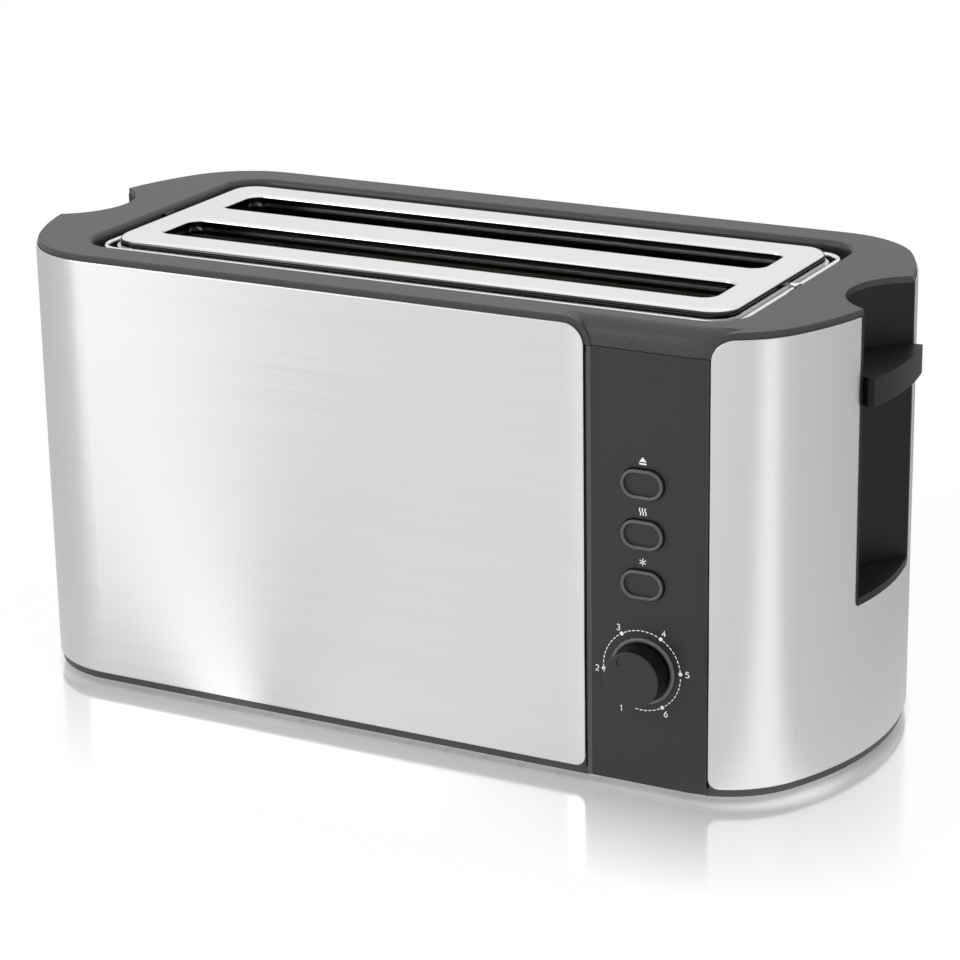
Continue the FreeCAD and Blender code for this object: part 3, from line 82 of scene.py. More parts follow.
def stretched_noise(nodes, links, scale, detail, roughness=0.5):
    """Noise over the object's own coordinates, scaled along each axis."""
    place = nodes.new("ShaderNodeTexCoord")
    mapping = nodes.new("ShaderNodeMapping")
    mapping.inputs["Scale"].default_value = scale
    noise = nodes.new("ShaderNodeTexNoise")
    noise.inputs["Scale"].default_value = 1.0
    noise.inputs["Detail"].default_value = detail
    noise.inputs["Roughness"].default_value = roughness
    links.new(place.outputs["Object"], mapping.inputs["Vector"])
    links.new(mapping.outputs[0], noise.inputs["Vector"])
    return noise.outputs["Fac"]


def ramp(nodes, links, source, stops):
    """A colour ramp through (place, grey or colour) stops."""
    made = nodes.new("ShaderNodeValToRGB")
    elements = made.color_ramp.elements
    while len(elements) < len(stops):
        elements.new(0.5)
    for element, (place, value) in zip(elements, stops):
        element.position = place
        colour = (value,) * 3 if isinstance(value, (int, float)) else value
        element.color = (*colour, 1)
    links.new(source, made.inputs[0])
    return made.outputs[0]


def span(nodes, links, source, low, high):
    """A value from noise spread between two numbers."""
    made = nodes.new("ShaderNodeMapRange")
    made.inputs["From Min"].default_value = 0.3
    made.inputs["From Max"].default_value = 0.7
    made.inputs["To Min"].default_value = low
    made.inputs["To Max"].default_value = high
    links.new(source, made.inputs["Value"])
    return made.outputs[0]


def add_bump(nodes, links, shader, height, strength, distance, edge_round=None):
    bump = nodes.new("ShaderNodeBump")
    bump.inputs["Strength"].default_value = strength
    bump.inputs["Distance"].default_value = distance
    links.new(height, bump.inputs["Height"])
    if edge_round:
        bevel = nodes.new("ShaderNodeBevel")
        bevel.samples = 6
        bevel.inputs["Radius"].default_value = edge_round
        links.new(bevel.outputs[0], bump.inputs["Normal"])
    links.new(bump.outputs[0], shader.inputs["Normal"])
    return bump


# Materials

# The well round the slot plate, where the cover is painted near-black and dull: painted shade in the recess
PLATE_LOW, PLATE_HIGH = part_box("slot_plate")
WELL_PAST_PLATE = Vector((9, 13, 30)) * MM
WELL_TOP_DROP = 4 * MM
WELL_TOP = PLATE_HIGH.z - WELL_TOP_DROP
WELL_PAINTED_SHADE = (PLATE_LOW - WELL_PAST_PLATE,
        Vector((PLATE_HIGH.x + WELL_PAST_PLATE.x, PLATE_HIGH.y + WELL_PAST_PLATE.y, WELL_TOP)))

# The slot plate under its rounded edge, painted dark as painted shade standing for the dark well it reflects,
# less dark on its lip's top
FAR = Vector((1, 1, 1))
PLATE_WALL_DROP = 1.2 * MM
LIP_TOP_DROP = 4.5 * MM
LIP_HALF = 0.8 * MM
LIP_TOP = PLATE_HIGH.z - LIP_TOP_DROP
PLATE_PAINTED_SHADES = (
    (-FAR, Vector((FAR.x, FAR.y, PLATE_HIGH.z - PLATE_WALL_DROP)), 0.05),
    (Vector((-FAR.x, -FAR.y, LIP_TOP - LIP_HALF)), Vector((FAR.x, FAR.y, LIP_TOP + LIP_HALF)), 0.55),
)

# The control panel's left rim, painted lighter as a painted highlight, and the knob behind its face, painted
# near-black as painted shade
RIM_START = 0.7 * MM
RIM_END = 2.6 * MM
LEFT_RIM_HIGHLIGHT = (Vector((STEEL_HIGH.x + RIM_START, -FAR.y, -FAR.z)),
            Vector((STEEL_HIGH.x + RIM_END, FAR.y, FAR.z)))
KNOB_FACE_DEPTH = 0.9 * MM
KNOB_SIDE_SHADE = (Vector((KNOB_LOW.x - FAR.x, KNOB_LOW.y + KNOB_FACE_DEPTH, -FAR.z)), KNOB_HIGH + FAR)

# The main panel's right edge, bent out a little before the control panel
FLARE_LENGTH = 10 * MM
FLARE_RISE = 0.7 * MM


def flare(nodes, links):
    """A height that grows with the square of the way along the flared edge."""
    place = nodes.new("ShaderNodeTexCoord")
    split = nodes.new("ShaderNodeSeparateXYZ")
    links.new(place.outputs["Object"], split.inputs[0])
    way = nodes.new("ShaderNodeMapRange")
    way.inputs["From Min"].default_value = STEEL_HIGH.x - FLARE_LENGTH
    way.inputs["From Max"].default_value = STEEL_HIGH.x
    links.new(split.outputs["X"], way.inputs["Value"])
    square = nodes.new("ShaderNodeMath")
    square.operation = "POWER"
    square.inputs[1].default_value = 2
    links.new(way.outputs[0], square.inputs[0])
    return square.outputs[0]


def brushed_steel(name, brush, colours, roughness, spread, edge_round, flared=False):
    """Sheet metal brushed along one direction; brush is the noise scale along each axis."""
    made, nodes, links, shader = new_material(name)
    lines = stretched_noise(nodes, links, brush, 5, 0.65)
    links.new(ramp(nodes, links, lines, [(0.3, colours[0]), (0.7, colours[1])]), shader.inputs["Base Color"])
    links.new(span(nodes, links, lines, *roughness), shader.inputs["Roughness"])
    shader.inputs["Metallic"].default_value = 1.0
    if spread:
        tangent = nodes.new("ShaderNodeTangent")
        tangent.direction_type = "RADIAL"
        tangent.axis = "Z"
        links.new(tangent.outputs[0], shader.inputs["Tangent"])
        shader.inputs["Anisotropic"].default_value = spread
        shader.inputs["Anisotropic Rotation"].default_value = 0.25
    bump = add_bump(nodes, links, shader, lines, 0.07, 0.05 * MM, edge_round)
    if flared:
        bend = nodes.new("ShaderNodeBump")
        bend.inputs["Distance"].default_value = FLARE_RISE
        links.new(flare(nodes, links), bend.inputs["Height"])
        links.new(bump.inputs["Normal"].links[0].from_socket, bend.inputs["Normal"])
        links.new(bend.outputs[0], bump.inputs["Normal"])
    return made


def inside_block(nodes, links, low, high):
    """1 where the object's own coordinates lie inside a block, and 0 outside it."""
    place = nodes.new("ShaderNodeTexCoord")
    split = nodes.new("ShaderNodeSeparateXYZ")
    links.new(place.outputs["Object"], split.inputs[0])
    together = None
    for axis in range(3):
        away = nodes.new("ShaderNodeMath")
        away.operation = "COMPARE"
        away.inputs[1].default_value = (low[axis] + high[axis]) / 2
        away.inputs[2].default_value = (high[axis] - low[axis]) / 2
        links.new(split.outputs[axis], away.inputs[0])
        if together is None:
            together = away.outputs[0]
            continue
        both = nodes.new("ShaderNodeMath")
        both.operation = "MULTIPLY"
        links.new(together, both.inputs[0])
        links.new(away.outputs[0], both.inputs[1])
        together = both.outputs[0]
    return together


def mixed(nodes, links, factor, first, second, data_type):
    """One value where the factor is 0 and another where it is 1."""
    mix = nodes.new("ShaderNodeMix")
    mix.data_type = data_type
    kind = [item for item in mix.inputs if item.enabled]
    links.new(factor, kind[0])
    links.new(first, kind[1])
    kind[2].default_value = second
    return next(item for item in mix.outputs if item.enabled)


def moulded_plastic(name, colour, roughness, grain, depth, edge_round=0.4 * MM, block=None, inside=None,
                    shine=0.5):
    """Plastic with the fine texture of its mould; where a block is given, another grey and roughness paint
    shade (the well, the knob's side) or a highlight (the panel's left rim) there.
    """
    made, nodes, links, shader = new_material(name)
    shader.inputs["Specular IOR Level"].default_value = shine
    cells = stretched_noise(nodes, links, (grain,) * 3, 3, 0.6)
    dark = tuple(c * 0.75 for c in colour)
    light = tuple(c * 1.25 for c in colour)
    tint = ramp(nodes, links, cells, [(0.35, dark), (0.65, light)])
    rough = span(nodes, links, cells, roughness - 0.05, roughness + 0.05)
    if block:
        grey, other_roughness = inside
        within = inside_block(nodes, links, *block)
        tint = mixed(nodes, links, within, tint, (grey, grey, grey, 1), "RGBA")
        rough = mixed(nodes, links, within, rough, other_roughness, "FLOAT")
    links.new(tint, shader.inputs["Base Color"])
    links.new(rough, shader.inputs["Roughness"])
    add_bump(nodes, links, shader, cells, 0.5, depth, edge_round)
    return made


def polished_metal(name, colour, roughness, edge_round, shades=()):
    """Bright metal with faint wipe marks, with painted shade in other greys inside blocks of space."""
    made, nodes, links, shader = new_material(name)
    marks = stretched_noise(nodes, links, (60, 60, 60), 4)
    tint = ramp(nodes, links, marks, [(0.3, tuple(c * 0.97 for c in colour)), (0.7, colour)])
    for low, high, grey in shades:
        tint = mixed(nodes, links, inside_block(nodes, links, low, high), tint, (grey, grey, grey, 1), "RGBA")
    links.new(tint, shader.inputs["Base Color"])
    links.new(span(nodes, links, marks, roughness * 0.8, roughness * 1.2), shader.inputs["Roughness"])
    shader.inputs["Metallic"].default_value = 1.0
    add_bump(nodes, links, shader, marks, 0.05, 0.05 * MM, edge_round)
    return made


def plain_board(name, colour, roughness, flake):
    """A pressed sheet with a flecked face."""
    made, nodes, links, shader = new_material(name)
    fleck = stretched_noise(nodes, links, (flake,) * 3, 4, 0.7)
    links.new(ramp(nodes, links, fleck, [(0.35, tuple(c * 0.8 for c in colour)), (0.65, colour)]),
              shader.inputs["Base Color"])
    shader.inputs["Roughness"].default_value = roughness
    add_bump(nodes, links, shader, fleck, 0.2, 0.03 * MM)
    return made


STEEL = brushed_steel("panel_steel", (5, 5, 2600), (0.63, 0.67), (0.28, 0.36), 0.75, 0.9 * MM)
FLARED_STEEL = brushed_steel("flared_steel", (5, 5, 2600), (0.63, 0.67), (0.28, 0.36), 0.75, 0.9 * MM, True)
PLATED = brushed_steel("plated_steel", (300, 300, 40), (0.42, 0.52), (0.3, 0.45), 0, 0.2 * MM)
# Rack ears: steel of a near-black grey.
EARS = brushed_steel("dark_steel", (300, 300, 40), (0.03, 0.04), (0.4, 0.5), 0, 0.2 * MM)
# Slot plate: painted shade below its rounded edge, standing for the dark well it reflects, less dark on the
# lip's top.
PLATE = polished_metal("polished_plate", (0.78, 0.78, 0.78), 0.12, 0.3 * MM, shades=PLATE_PAINTED_SHADES)
WIRE = polished_metal("bright_wire", (0.80, 0.80, 0.80), 0.10, None)
# Cover: painted shade, near-black and dull, inside the well.
COVER = moulded_plastic("cover_plastic", (0.030, 0.030, 0.0305), 0.42, 1500, 0.04 * MM, block=WELL_PAINTED_SHADE,
                        inside=(0.004, 0.8))
# Panel: painted highlight, a lighter grey, along its left rim.
PANEL = moulded_plastic("panel_plastic", (0.012, 0.012, 0.0125), 0.48, 1800, 0.05 * MM, block=LEFT_RIM_HIGHLIGHT,
                        inside=(0.065, 0.5))
SCOOP = moulded_plastic("scoop_plastic", (0.009, 0.009, 0.0095), 0.50, 1500, 0.04 * MM, shine=0.25)
LEVER = moulded_plastic("lever_plastic", (0.005, 0.005, 0.005), 0.45, 1500, 0.03 * MM, shine=0.25)
# Knob: painted shade, near-black, on its side behind the face.
KNOB = moulded_plastic("knob_plastic_shaded_side", (0.030, 0.030, 0.031), 0.40, 2500, 0.02 * MM, block=KNOB_SIDE_SHADE,
                       inside=(0.002, 0.45), shine=0.25)
RING = moulded_plastic("ring_plastic", (0.11, 0.11, 0.115), 0.35, 2500, 0.02 * MM, 0.5 * MM)
# Button beads: a lighter grey as a painted highlight on their rounded tops.
BEAD_HIGHLIGHT_PLASTIC = moulded_plastic("button_edge_highlight_plastic", (0.08, 0.08, 0.081), 0.32, 2500, 0.02 * MM)
PART_PLASTIC = moulded_plastic("component_plastic", (0.02, 0.02, 0.02), 0.4, 900, 0.02 * MM)
RUBBER = moulded_plastic("foot_rubber", (0.012, 0.012, 0.012), 0.8, 700, 0.05 * MM)
MICA = plain_board("mica", (0.20, 0.175, 0.14), 0.6, 220)
RIBBON = polished_metal("heating_ribbon", (0.42, 0.38, 0.34), 0.35, None)
BOARD = plain_board("circuit_board", (0.03, 0.13, 0.06), 0.45, 500)
COIL = plain_board("copper_coil", (0.45, 0.17, 0.06), 0.35, 1200)

FINISHES = {
    "steel": STEEL,
    "cover_plastic": COVER,
    "panel_plastic": PANEL,
    "polished_plate": PLATE,
    "bright_wire": WIRE,
    "plated_steel": PLATED,
    "rubber": RUBBER,
    "mica": MICA,
    "ribbon": RIBBON,
    "circuit_board": BOARD,
    "component_plastic": PART_PLASTIC,
    "copper_coil": COIL,
}
SPECIAL = {
    "browning_knob": KNOB,
    "knob_ring": RING,
    "lever_scoop_liner": SCOOP,
    "grip_scoop_liner": SCOOP,
    "lever_paddle": LEVER,
    "rack_ears": EARS,
    "main_steel_panel": FLARED_STEEL,
}

for part in frame["record"]["subparts"]:
    node = frame["nodes"][part["node"]]
    finish = SPECIAL.get(part["node"], FINISHES[part["material_slot"]])
    for index in range(len(node.material_slots)):
        node.material_slots[index].material = finish


# White marks on the control panel

MARK_LIFT = 0.04 * MM
MARK_DEPTH = 0.03 * MM
DASH_RADIUS = 17.3 * MM
DASH_WIDTH = 0.38 * MM
DASH_TURN = 4.4
DASH_COUNT = 54
DOT_RADIUS = 0.85 * MM
NUMBER_RADIUS = 20.3 * MM
NUMBER_SIZE = 2.5 * MM
NUMBER_STROKE = 0.36 * MM
MITRE_LIMIT = 0.6
MARKS_ASIDE = -0.4 * MM
MARKS_X = DIAL.x + MARKS_ASIDE
DASH_CLEAR = 2.6
SETTINGS = {"1": 243, "2": 186, "3": 121.5, "4": 61, "5": 4.5, "6": -58}


def print_material():
    made, nodes, links, shader = new_material("white_print")
    speck = stretched_noise(nodes, links, (3000,) * 3, 2)
    links.new(ramp(nodes, links, speck, [(0.3, 0.86), (0.7, 0.94)]), shader.inputs["Base Color"])
    shader.inputs["Roughness"].default_value = 0.55
    return made


def lay_on_panel(mesh):
    """Curve flat marks, drawn in x and z about the panel, onto its face."""
    for vertex in mesh.vertices:
        depth = vertex.co.y
        vertex.co.y = panel_face_y(vertex.co.x) - MARK_LIFT - depth


def mesh_piece(name, bm, material, body):
    mesh = bpy.data.meshes.new(name)
    bm.to_mesh(mesh)
    bm.free()
    piece = bpy.data.objects.new(name, mesh)
    bpy.context.collection.objects.link(piece)
    mesh.materials.append(material)
    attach(piece, body)
    return piece


def raise_faces(bm):
    """Give flat marks their print's thickness."""
    faces = list(bm.faces)
    made = bmesh.ops.extrude_face_region(bm, geom=faces)
    for item in made["geom"]:
        if isinstance(item, bmesh.types.BMVert):
            item.co.y = MARK_DEPTH
    bmesh.ops.recalc_face_normals(bm, faces=bm.faces)


def add_polygon(bm, points):
    bm.faces.new([bm.verts.new((x, 0, z)) for x, z in points])


def add_stroke(bm, points, width):
    """A flat line of even width through points in x and z, with mitred turns."""
    places = [Vector(point) for point in points]
    ways = [(after - here).normalized() for here, after in zip(places, places[1:])]
    edges = []
    for place, before, after in zip(places, ways[:1] + ways, ways + ways[-1:]):
        across = Vector((-before.y - after.y, before.x + after.x)).normalized()
        reach = width / 2 / max(across.dot(Vector((-after.y, after.x))), MITRE_LIMIT)
        sides = (place - across * reach, place + across * reach)
        edges.append([bm.verts.new((side.x, 0, side.y)) for side in sides])
    for (low, high), (next_low, next_high) in zip(edges, edges[1:]):
        bm.faces.new((low, next_low, next_high, high))


def add_disc(bm, x, z, radius, sides=20):
    add_polygon(bm, [(x + radius * math.cos(2 * math.pi * k / sides),
                      z + radius * math.sin(2 * math.pi * k / sides)) for k in range(sides)])


def arc_points(x, z, radius, start, end, steps):
    turns = [math.radians(start + (end - start) * k / steps) for k in range(steps + 1)]
    return [(x + radius * math.cos(t), z + radius * math.sin(t)) for t in turns]


def make_dial_marks(material):
    bm = bmesh.new()
    for step in range(DASH_COUNT):
        start = step * 360 / DASH_COUNT
        middle = start + DASH_TURN / 2
        clear = min(abs((middle - turn + 180) % 360 - 180)
                    for number, turn in SETTINGS.items() if number != "1")
        if clear > DASH_CLEAR:
            add_stroke(bm, arc_points(MARKS_X, DIAL.z, DASH_RADIUS, start, start + DASH_TURN, 4), DASH_WIDTH)
    for number, turn in SETTINGS.items():
        x, z = arc_points(MARKS_X, DIAL.z, DASH_RADIUS, turn, turn, 1)[0]
        if number != "1":
            add_disc(bm, x, z, DOT_RADIUS)
    raise_faces(bm)
    piece = mesh_piece("dial_marks", bm, material, "body")
    lay_on_panel(piece.data)


def numeral(number):
    """Strokes of a plain numeral one unit high about its middle."""
    return {
        "1": [[(-0.18, 0.28), (0.02, 0.5), (0.02, -0.5)]],
        "2": [arc_points(0, 0.22, 0.28, 160, -40, 10) + [(-0.28, -0.46), (0.3, -0.46)]],
        "3": [arc_points(0, 0.25, 0.25, 150, -55, 10) + arc_points(0, -0.23, 0.27, 55, -150, 10),
              [(-0.05, 0.02), (0.07, 0.02)]],
        "4": [[(0.12, -0.5), (0.12, -0.28)], [(0.34, -0.2), (-0.32, -0.2), (0.12, 0.46), (0.12, -0.12)]],
        "5": [[(0.26, 0.46), (-0.2, 0.46), (-0.24, 0.08)] + arc_points(0, -0.18, 0.31, 120, -150, 12)],
        "6": [[(0.16, 0.46), (-0.14, 0.22)] + arc_points(0, -0.2, 0.29, 170, 490, 16)],
    }[number]


def make_numbers(material):
    for number, turn in SETTINGS.items():
        x, z = arc_points(MARKS_X, DIAL.z, NUMBER_RADIUS, turn, turn, 1)[0]
        bm = bmesh.new()
        for line in numeral(number):
            stroke = [(x + NUMBER_SIZE * across, z + NUMBER_SIZE * up) for across, up in line]
            add_stroke(bm, stroke, NUMBER_STROKE)
        raise_faces(bm)
        piece = mesh_piece(f"dial_number_{number}", bm, material, "body")
        lay_on_panel(piece.data)


# Small signs above the buttons

SIGN_RISE = 9.6 * MM
SIGN_SIZE = 3.2 * MM
SIGN_LINE = 0.42 * MM


def make_signs(material):
    half = SIGN_SIZE / 2
    for name in ("stop_button", "reheat_button", "defrost_button"):
        low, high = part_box(name)
        x = (low.x + high.x) / 2
        z = (low.z + high.z) / 2 + SIGN_RISE
        bm = bmesh.new()
        if name == "stop_button":
            add_polygon(bm, [(x - half, z - half * 0.2), (x + half, z - half * 0.2), (x, z + half)])
            add_stroke(bm, [(x - half, z - half * 0.75), (x + half, z - half * 0.75)], SIGN_LINE * 1.6)
        elif name == "reheat_button":
            for way in (-1, 0, 1):
                wave = [(x + way * half * 0.75 + 0.18 * half * math.sin(math.pi * 2 * k / 12),
                         z - half + SIGN_SIZE * k / 12) for k in range(13)]
                add_stroke(bm, wave, SIGN_LINE)
        else:
            for turn in range(0, 180, 60):
                c, s = math.cos(math.radians(turn + 30)), math.sin(math.radians(turn + 30))
                add_stroke(bm, [(x - half * c, z - half * s), (x + half * c, z + half * s)], SIGN_LINE * 0.8)
        raise_faces(bm)
        piece = mesh_piece(f"{name}_sign", bm, material, "body")
        lay_on_panel(piece.data)


# Rounded beads along the buttons' edges, in a lighter grey as a painted highlight

BUTTON_WIDTH = 18.8 * MM
BUTTON_HEIGHT = 12.4 * MM
BEAD_WIDTH = 1.5 * MM
BEAD_RISE = 0.5 * MM
BEAD_SINK = 0.15 * MM
BEAD_CORNER_STEPS = 16
BEAD_SIDES = 8


def stadium_path(half_x, half_z):
    """Points and outward directions round a stadium in x and z."""
    path = []
    for side, start in ((1, -90), (-1, 90)):
        for step in range(BEAD_CORNER_STEPS + 1):
            turn = math.radians(start + 180 * step / BEAD_CORNER_STEPS)
            way = (math.cos(turn), math.sin(turn))
            path.append(((side * (half_x - half_z) + half_z * way[0], half_z * way[1]), way))
    return path


def make_bead(body):
    low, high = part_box(f"{body}_button")
    half_x = BUTTON_WIDTH / 2 - BEAD_WIDTH / 2
    half_z = BUTTON_HEIGHT / 2 - BEAD_WIDTH / 2
    centre = (low + high) / 2
    bm = bmesh.new()
    rings = []
    for (x, z), (way_x, way_z) in stadium_path(half_x, half_z):
        ring = []
        for step in range(BEAD_SIDES + 1):
            turn = math.pi * step / BEAD_SIDES
            out = math.cos(turn) * BEAD_WIDTH / 2
            proud = math.sin(turn) * (BEAD_RISE + BEAD_SINK) - BEAD_SINK
            place = (centre.x + x + way_x * out, low.y - proud, centre.z + z + way_z * out)
            ring.append(bm.verts.new(place))
        rings.append(ring)
    for here, after in zip(rings, rings[1:] + rings[:1]):
        for step in range(BEAD_SIDES):
            bm.faces.new((here[step], here[step + 1], after[step + 1], after[step])).smooth = True
        bm.faces.new((here[BEAD_SIDES], here[0], after[0], after[BEAD_SIDES]))
    bmesh.ops.recalc_face_normals(bm, faces=bm.faces)
    mesh_piece(f"{body}_button_bead", bm, BEAD_HIGHLIGHT_PLASTIC, body)


for button_body in ("stop", "reheat", "defrost"):
    make_bead(button_body)


white_print = print_material()
make_dial_marks(white_print)
make_numbers(white_print)
make_signs(white_print)


# Studio: a room with a pale front wall, grey side and back walls and two tall strip lights, seen in
# reflections. Bearings are in degrees, 0 being straight in front of the object and 90 at its lever end.

BACK_WALL = 0.4
SIDE_WALL = 0.8
FRONT_WALL = 1.0
LEFT_SIDE_TURN = -75
RIGHT_SIDE_TURN = 90
FRONT_HALF = 20
STRIP_WALL = 0.85
LEFT_STRIP_TURN = -42
LEFT_STRIP_HALF = 8
LEFT_STRIP_LEVEL = 1.6
RIGHT_STRIP_TURN = 67
RIGHT_STRIP_HALF = 12
RIGHT_STRIP_LEVEL = 1.35
STUDIO_PEAK = 2.0
SKY = 1.0
SKY_START = 0.04
SKY_FULL = 0.28


def strip_light(turn, half, level):
    """A strip light between two stretches of wall."""
    return [(turn - half, STRIP_WALL), (turn - half / 3, level), (turn + half / 3, level),
            (turn + half, STRIP_WALL)]


def studio_stops():
    """Bearings and levels round the room, from the back by the left side to the back again."""
    return ([(-180, BACK_WALL), (LEFT_SIDE_TURN, SIDE_WALL)]
            + strip_light(LEFT_STRIP_TURN, LEFT_STRIP_HALF, LEFT_STRIP_LEVEL)
            + [(-FRONT_HALF, FRONT_WALL), (FRONT_HALF, FRONT_WALL)]
            + strip_light(RIGHT_STRIP_TURN, RIGHT_STRIP_HALF, RIGHT_STRIP_LEVEL)
            + [(RIGHT_SIDE_TURN, SIDE_WALL), (180, BACK_WALL)])


def studio_level(nodes, links, vector):
    """Brightness by bearing, 0 degrees being straight in front of the object."""
    split = nodes.new("ShaderNodeSeparateXYZ")
    links.new(vector, split.inputs[0])
    front = nodes.new("ShaderNodeMath")
    front.operation = "MULTIPLY"
    front.inputs[1].default_value = -1
    links.new(split.outputs["Y"], front.inputs[0])
    bearing = nodes.new("ShaderNodeMath")
    bearing.operation = "ARCTAN2"
    links.new(split.outputs["X"], bearing.inputs[0])
    links.new(front.outputs[0], bearing.inputs[1])
    part = nodes.new("ShaderNodeMapRange")
    part.inputs["From Min"].default_value = -math.pi
    part.inputs["From Max"].default_value = math.pi
    links.new(bearing.outputs[0], part.inputs["Value"])
    stops = [((turn + 180) / 360, level / STUDIO_PEAK) for turn, level in studio_stops()]
    return ramp(nodes, links, part.outputs[0], stops)


def sky_level(nodes, links, vector, low_level):
    """The walls' brightness near the ground, and the ceiling's above it."""
    split = nodes.new("ShaderNodeSeparateXYZ")
    links.new(vector, split.inputs[0])
    height = nodes.new("ShaderNodeMapRange")
    height.interpolation_type = "SMOOTHSTEP"
    height.inputs["From Min"].default_value = SKY_START
    height.inputs["From Max"].default_value = SKY_FULL
    links.new(split.outputs["Z"], height.inputs["Value"])
    mix = nodes.new("ShaderNodeMix")
    mix.data_type = "RGBA"
    links.new(height.outputs[0], mix.inputs["Factor"])
    links.new(low_level, mix.inputs["A"])
    mix.inputs["B"].default_value = (*(SKY / STUDIO_PEAK,) * 3, 1)
    return mix.outputs["Result"]


def make_world():
    world = bpy.data.worlds.new("studio")
    bpy.context.scene.world = world
    world.use_nodes = True
    nodes, links = world.node_tree.nodes, world.node_tree.links
    nodes.clear()
    out = nodes.new("ShaderNodeOutputWorld")
    mix = nodes.new("ShaderNodeMixShader")
    light_path = nodes.new("ShaderNodeLightPath")
    around = nodes.new("ShaderNodeBackground")
    white = nodes.new("ShaderNodeBackground")
    white.inputs["Color"].default_value = (1, 1, 1, 1)
    place = nodes.new("ShaderNodeTexCoord")
    walls = studio_level(nodes, links, place.outputs["Generated"])
    links.new(sky_level(nodes, links, place.outputs["Generated"], walls), around.inputs["Color"])
    around.inputs["Strength"].default_value = STUDIO_PEAK
    links.new(light_path.outputs["Is Camera Ray"], mix.inputs[0])
    links.new(around.outputs[0], mix.inputs[1])
    links.new(white.outputs[0], mix.inputs[2])
    links.new(mix.outputs[0], out.inputs[0])


FLOOR_SIZE = 12.0
FOOTPRINT_X = 150 * MM
FOOTPRINT_Y = 40 * MM
FOOTPRINT_CORNER = 49 * MM
FLOOR_COLOUR = 0.12
FLOOR_GLOW = 0.87
FLOOR_GLOSS = 0.55
FLOOR_ROUGHNESS = 0.14
FLOOR_FADE = 0.075
FLOOR_UNDER = (0.016, 0.004)
CONTACT_SHADE_REACH = 0.005


def make_floor():
    bm = bmesh.new()
    half = FLOOR_SIZE / 2
    bm.faces.new([bm.verts.new((x * half, y * half, 0)) for x, y in ((-1, -1), (1, -1), (1, 1), (-1, 1))])
    mesh = bpy.data.meshes.new("floor")
    bm.to_mesh(mesh)
    bm.free()
    floor = bpy.data.objects.new("floor", mesh)
    bpy.context.collection.objects.link(floor)
    made = bpy.data.materials.new("floor_white")
    made.use_nodes = True
    nodes, links = made.node_tree.nodes, made.node_tree.links
    nodes.clear()
    out = nodes.new("ShaderNodeOutputMaterial")
    diffuse = nodes.new("ShaderNodeBsdfDiffuse")
    diffuse.inputs["Color"].default_value = (*(FLOOR_COLOUR,) * 3, 1)
    glow = nodes.new("ShaderNodeEmission")
    glow.inputs["Strength"].default_value = FLOOR_GLOW
    # Painted contact shadow: an occlusion test darkens the floor's glow near the object.
    contact_shade = nodes.new("ShaderNodeAmbientOcclusion")
    contact_shade.samples = 8
    contact_shade.inputs["Distance"].default_value = CONTACT_SHADE_REACH
    links.new(contact_shade.outputs["AO"], glow.inputs["Color"])
    together = nodes.new("ShaderNodeAddShader")
    links.new(diffuse.outputs[0], together.inputs[0])
    links.new(glow.outputs[0], together.inputs[1])
    gloss = nodes.new("ShaderNodeBsdfGlossy")
    gloss.inputs["Roughness"].default_value = FLOOR_ROUGHNESS
    gloss.inputs["Color"].default_value = (1, 1, 1, 1)
    seen = nodes.new("ShaderNodeMixShader")
    place = nodes.new("ShaderNodeTexCoord")
    fade = footprint_fade(nodes, links, place.outputs["Object"])
    links.new(fade, seen.inputs[0])
    links.new(together.outputs[0], seen.inputs[1])
    links.new(gloss.outputs[0], seen.inputs[2])
    around = nodes.new("ShaderNodeEmission")
    links.new(studio_level(nodes, links, place.outputs["Object"]), around.inputs["Color"])
    around.inputs["Strength"].default_value = STUDIO_PEAK
    mix = nodes.new("ShaderNodeMixShader")
    light_path = nodes.new("ShaderNodeLightPath")
    links.new(light_path.outputs["Is Camera Ray"], mix.inputs[0])
    links.new(around.outputs[0], mix.inputs[1])
    links.new(seen.outputs[0], mix.inputs[2])
    links.new(mix.outputs[0], out.inputs[0])
    mesh.materials.append(made)


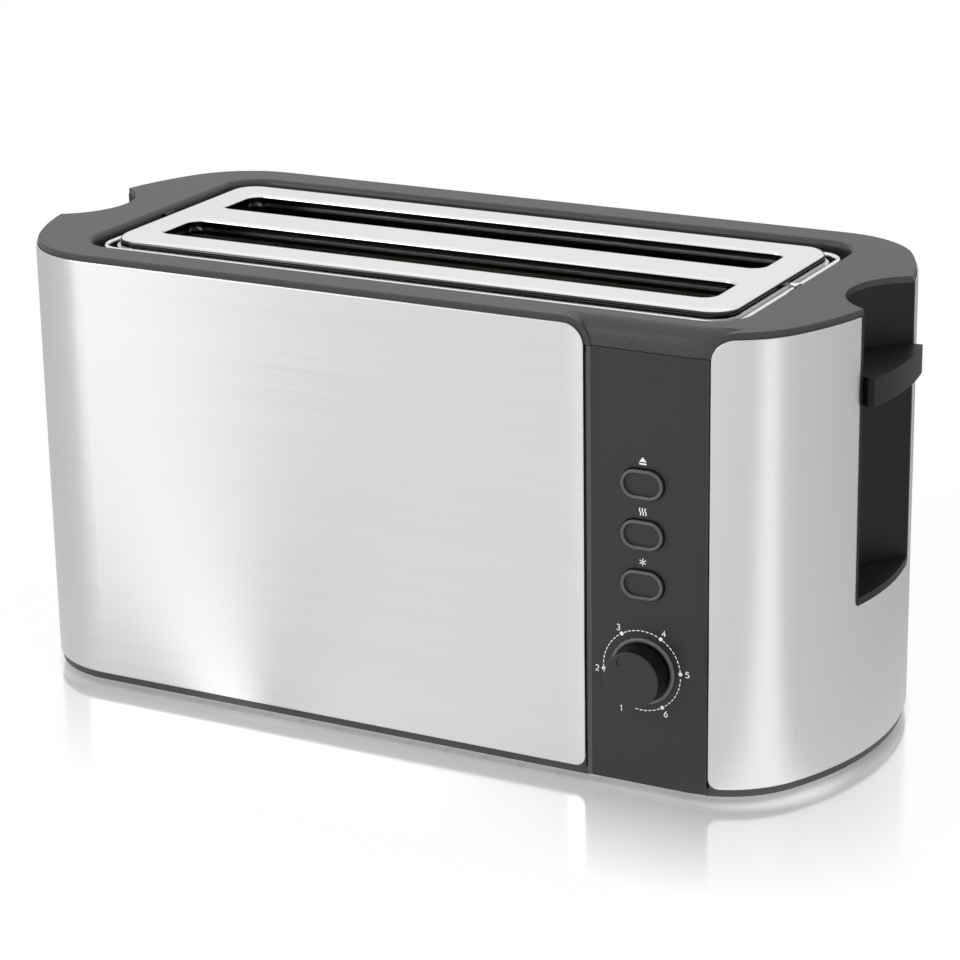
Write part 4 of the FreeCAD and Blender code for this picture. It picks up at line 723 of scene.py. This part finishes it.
def footprint_fade(nodes, links, vector):
    """Gloss beside the object that dies away under it and with distance from its footprint."""
    split = nodes.new("ShaderNodeSeparateXYZ")
    links.new(vector, split.inputs[0])
    squares = []
    for axis, half in (("X", FOOTPRINT_X), ("Y", FOOTPRINT_Y)):
        size = nodes.new("ShaderNodeMath")
        size.operation = "ABSOLUTE"
        links.new(split.outputs[axis], size.inputs[0])
        past = nodes.new("ShaderNodeMath")
        past.operation = "SUBTRACT"
        past.inputs[1].default_value = half
        links.new(size.outputs[0], past.inputs[0])
        floor_zero = nodes.new("ShaderNodeMath")
        floor_zero.operation = "MAXIMUM"
        floor_zero.inputs[1].default_value = 0
        links.new(past.outputs[0], floor_zero.inputs[0])
        square = nodes.new("ShaderNodeMath")
        square.operation = "POWER"
        square.inputs[1].default_value = 2
        links.new(floor_zero.outputs[0], square.inputs[0])
        squares.append(square.outputs[0])
    total = nodes.new("ShaderNodeMath")
    total.operation = "ADD"
    links.new(squares[0], total.inputs[0])
    links.new(squares[1], total.inputs[1])
    root = nodes.new("ShaderNodeMath")
    root.operation = "SQRT"
    links.new(total.outputs[0], root.inputs[0])
    near = nodes.new("ShaderNodeMapRange")
    near.inputs["From Min"].default_value = FOOTPRINT_CORNER
    near.inputs["From Max"].default_value = FOOTPRINT_CORNER + FLOOR_FADE
    near.inputs["To Min"].default_value = FLOOR_GLOSS
    near.inputs["To Max"].default_value = 0
    links.new(root.outputs[0], near.inputs["Value"])
    under = nodes.new("ShaderNodeMapRange")
    under.inputs["From Min"].default_value = FOOTPRINT_CORNER - FLOOR_UNDER[0]
    under.inputs["From Max"].default_value = FOOTPRINT_CORNER - FLOOR_UNDER[1]
    links.new(root.outputs[0], under.inputs["Value"])
    both = nodes.new("ShaderNodeMath")
    both.operation = "MULTIPLY"
    links.new(near.outputs[0], both.inputs[0])
    links.new(under.outputs[0], both.inputs[1])
    return both.outputs[0]


def make_lamp(name, place, target, size, power):
    lamp = bpy.data.lights.new(name, "AREA")
    lamp.shape = "RECTANGLE"
    lamp.size, lamp.size_y = size
    lamp.energy = power
    holder = bpy.data.objects.new(name, lamp)
    holder.location = place
    holder.rotation_euler = (Vector(target) - Vector(place)).to_track_quat("-Z", "Y").to_euler()
    bpy.context.collection.objects.link(holder)


make_world()
make_floor()
LAMP_TARGET = (0, 0, 0.1)
OVERHEAD_PLACE = (0.0, 0.1, 1.6)
OVERHEAD_SIZE = (2.2, 1.7)
OVERHEAD_POWER = 2
FRONT_PLACE = (-1.2, -1.3, 0.9)
FRONT_SIZE = (0.8, 1.0)
FRONT_POWER = 8

make_lamp("overhead", OVERHEAD_PLACE, LAMP_TARGET, OVERHEAD_SIZE, OVERHEAD_POWER)
make_lamp("front_left", FRONT_PLACE, LAMP_TARGET, FRONT_SIZE, FRONT_POWER)


# Camera at the photograph's place

CAMERA_PLACE = (0.62696, -1.16284, 0.53679)
CAMERA_YAW = -28.158
CAMERA_PITCH = 18.556
CAMERA_ROLL = 0.956
FOCAL_PIXELS = 3150.3
FRAME_PIXELS = 960
SENSOR = 36.0


def make_camera():
    data = bpy.data.cameras.new("camera")
    data.sensor_width = SENSOR
    data.lens = FOCAL_PIXELS / FRAME_PIXELS * SENSOR
    data.clip_start = 0.05
    data.clip_end = 50
    camera = bpy.data.objects.new("camera", data)
    turn = Matrix.Rotation(math.radians(-CAMERA_YAW), 4, "Z")
    tilt = Matrix.Rotation(math.radians(90 - CAMERA_PITCH), 4, "X")
    roll = Matrix.Rotation(math.radians(-CAMERA_ROLL), 4, "Z")
    camera.matrix_world = Matrix.Translation(CAMERA_PLACE) @ turn @ tilt @ roll
    bpy.context.collection.objects.link(camera)
    bpy.context.scene.camera = camera


make_camera()
bpy.context.scene.view_settings.view_transform = "Standard"
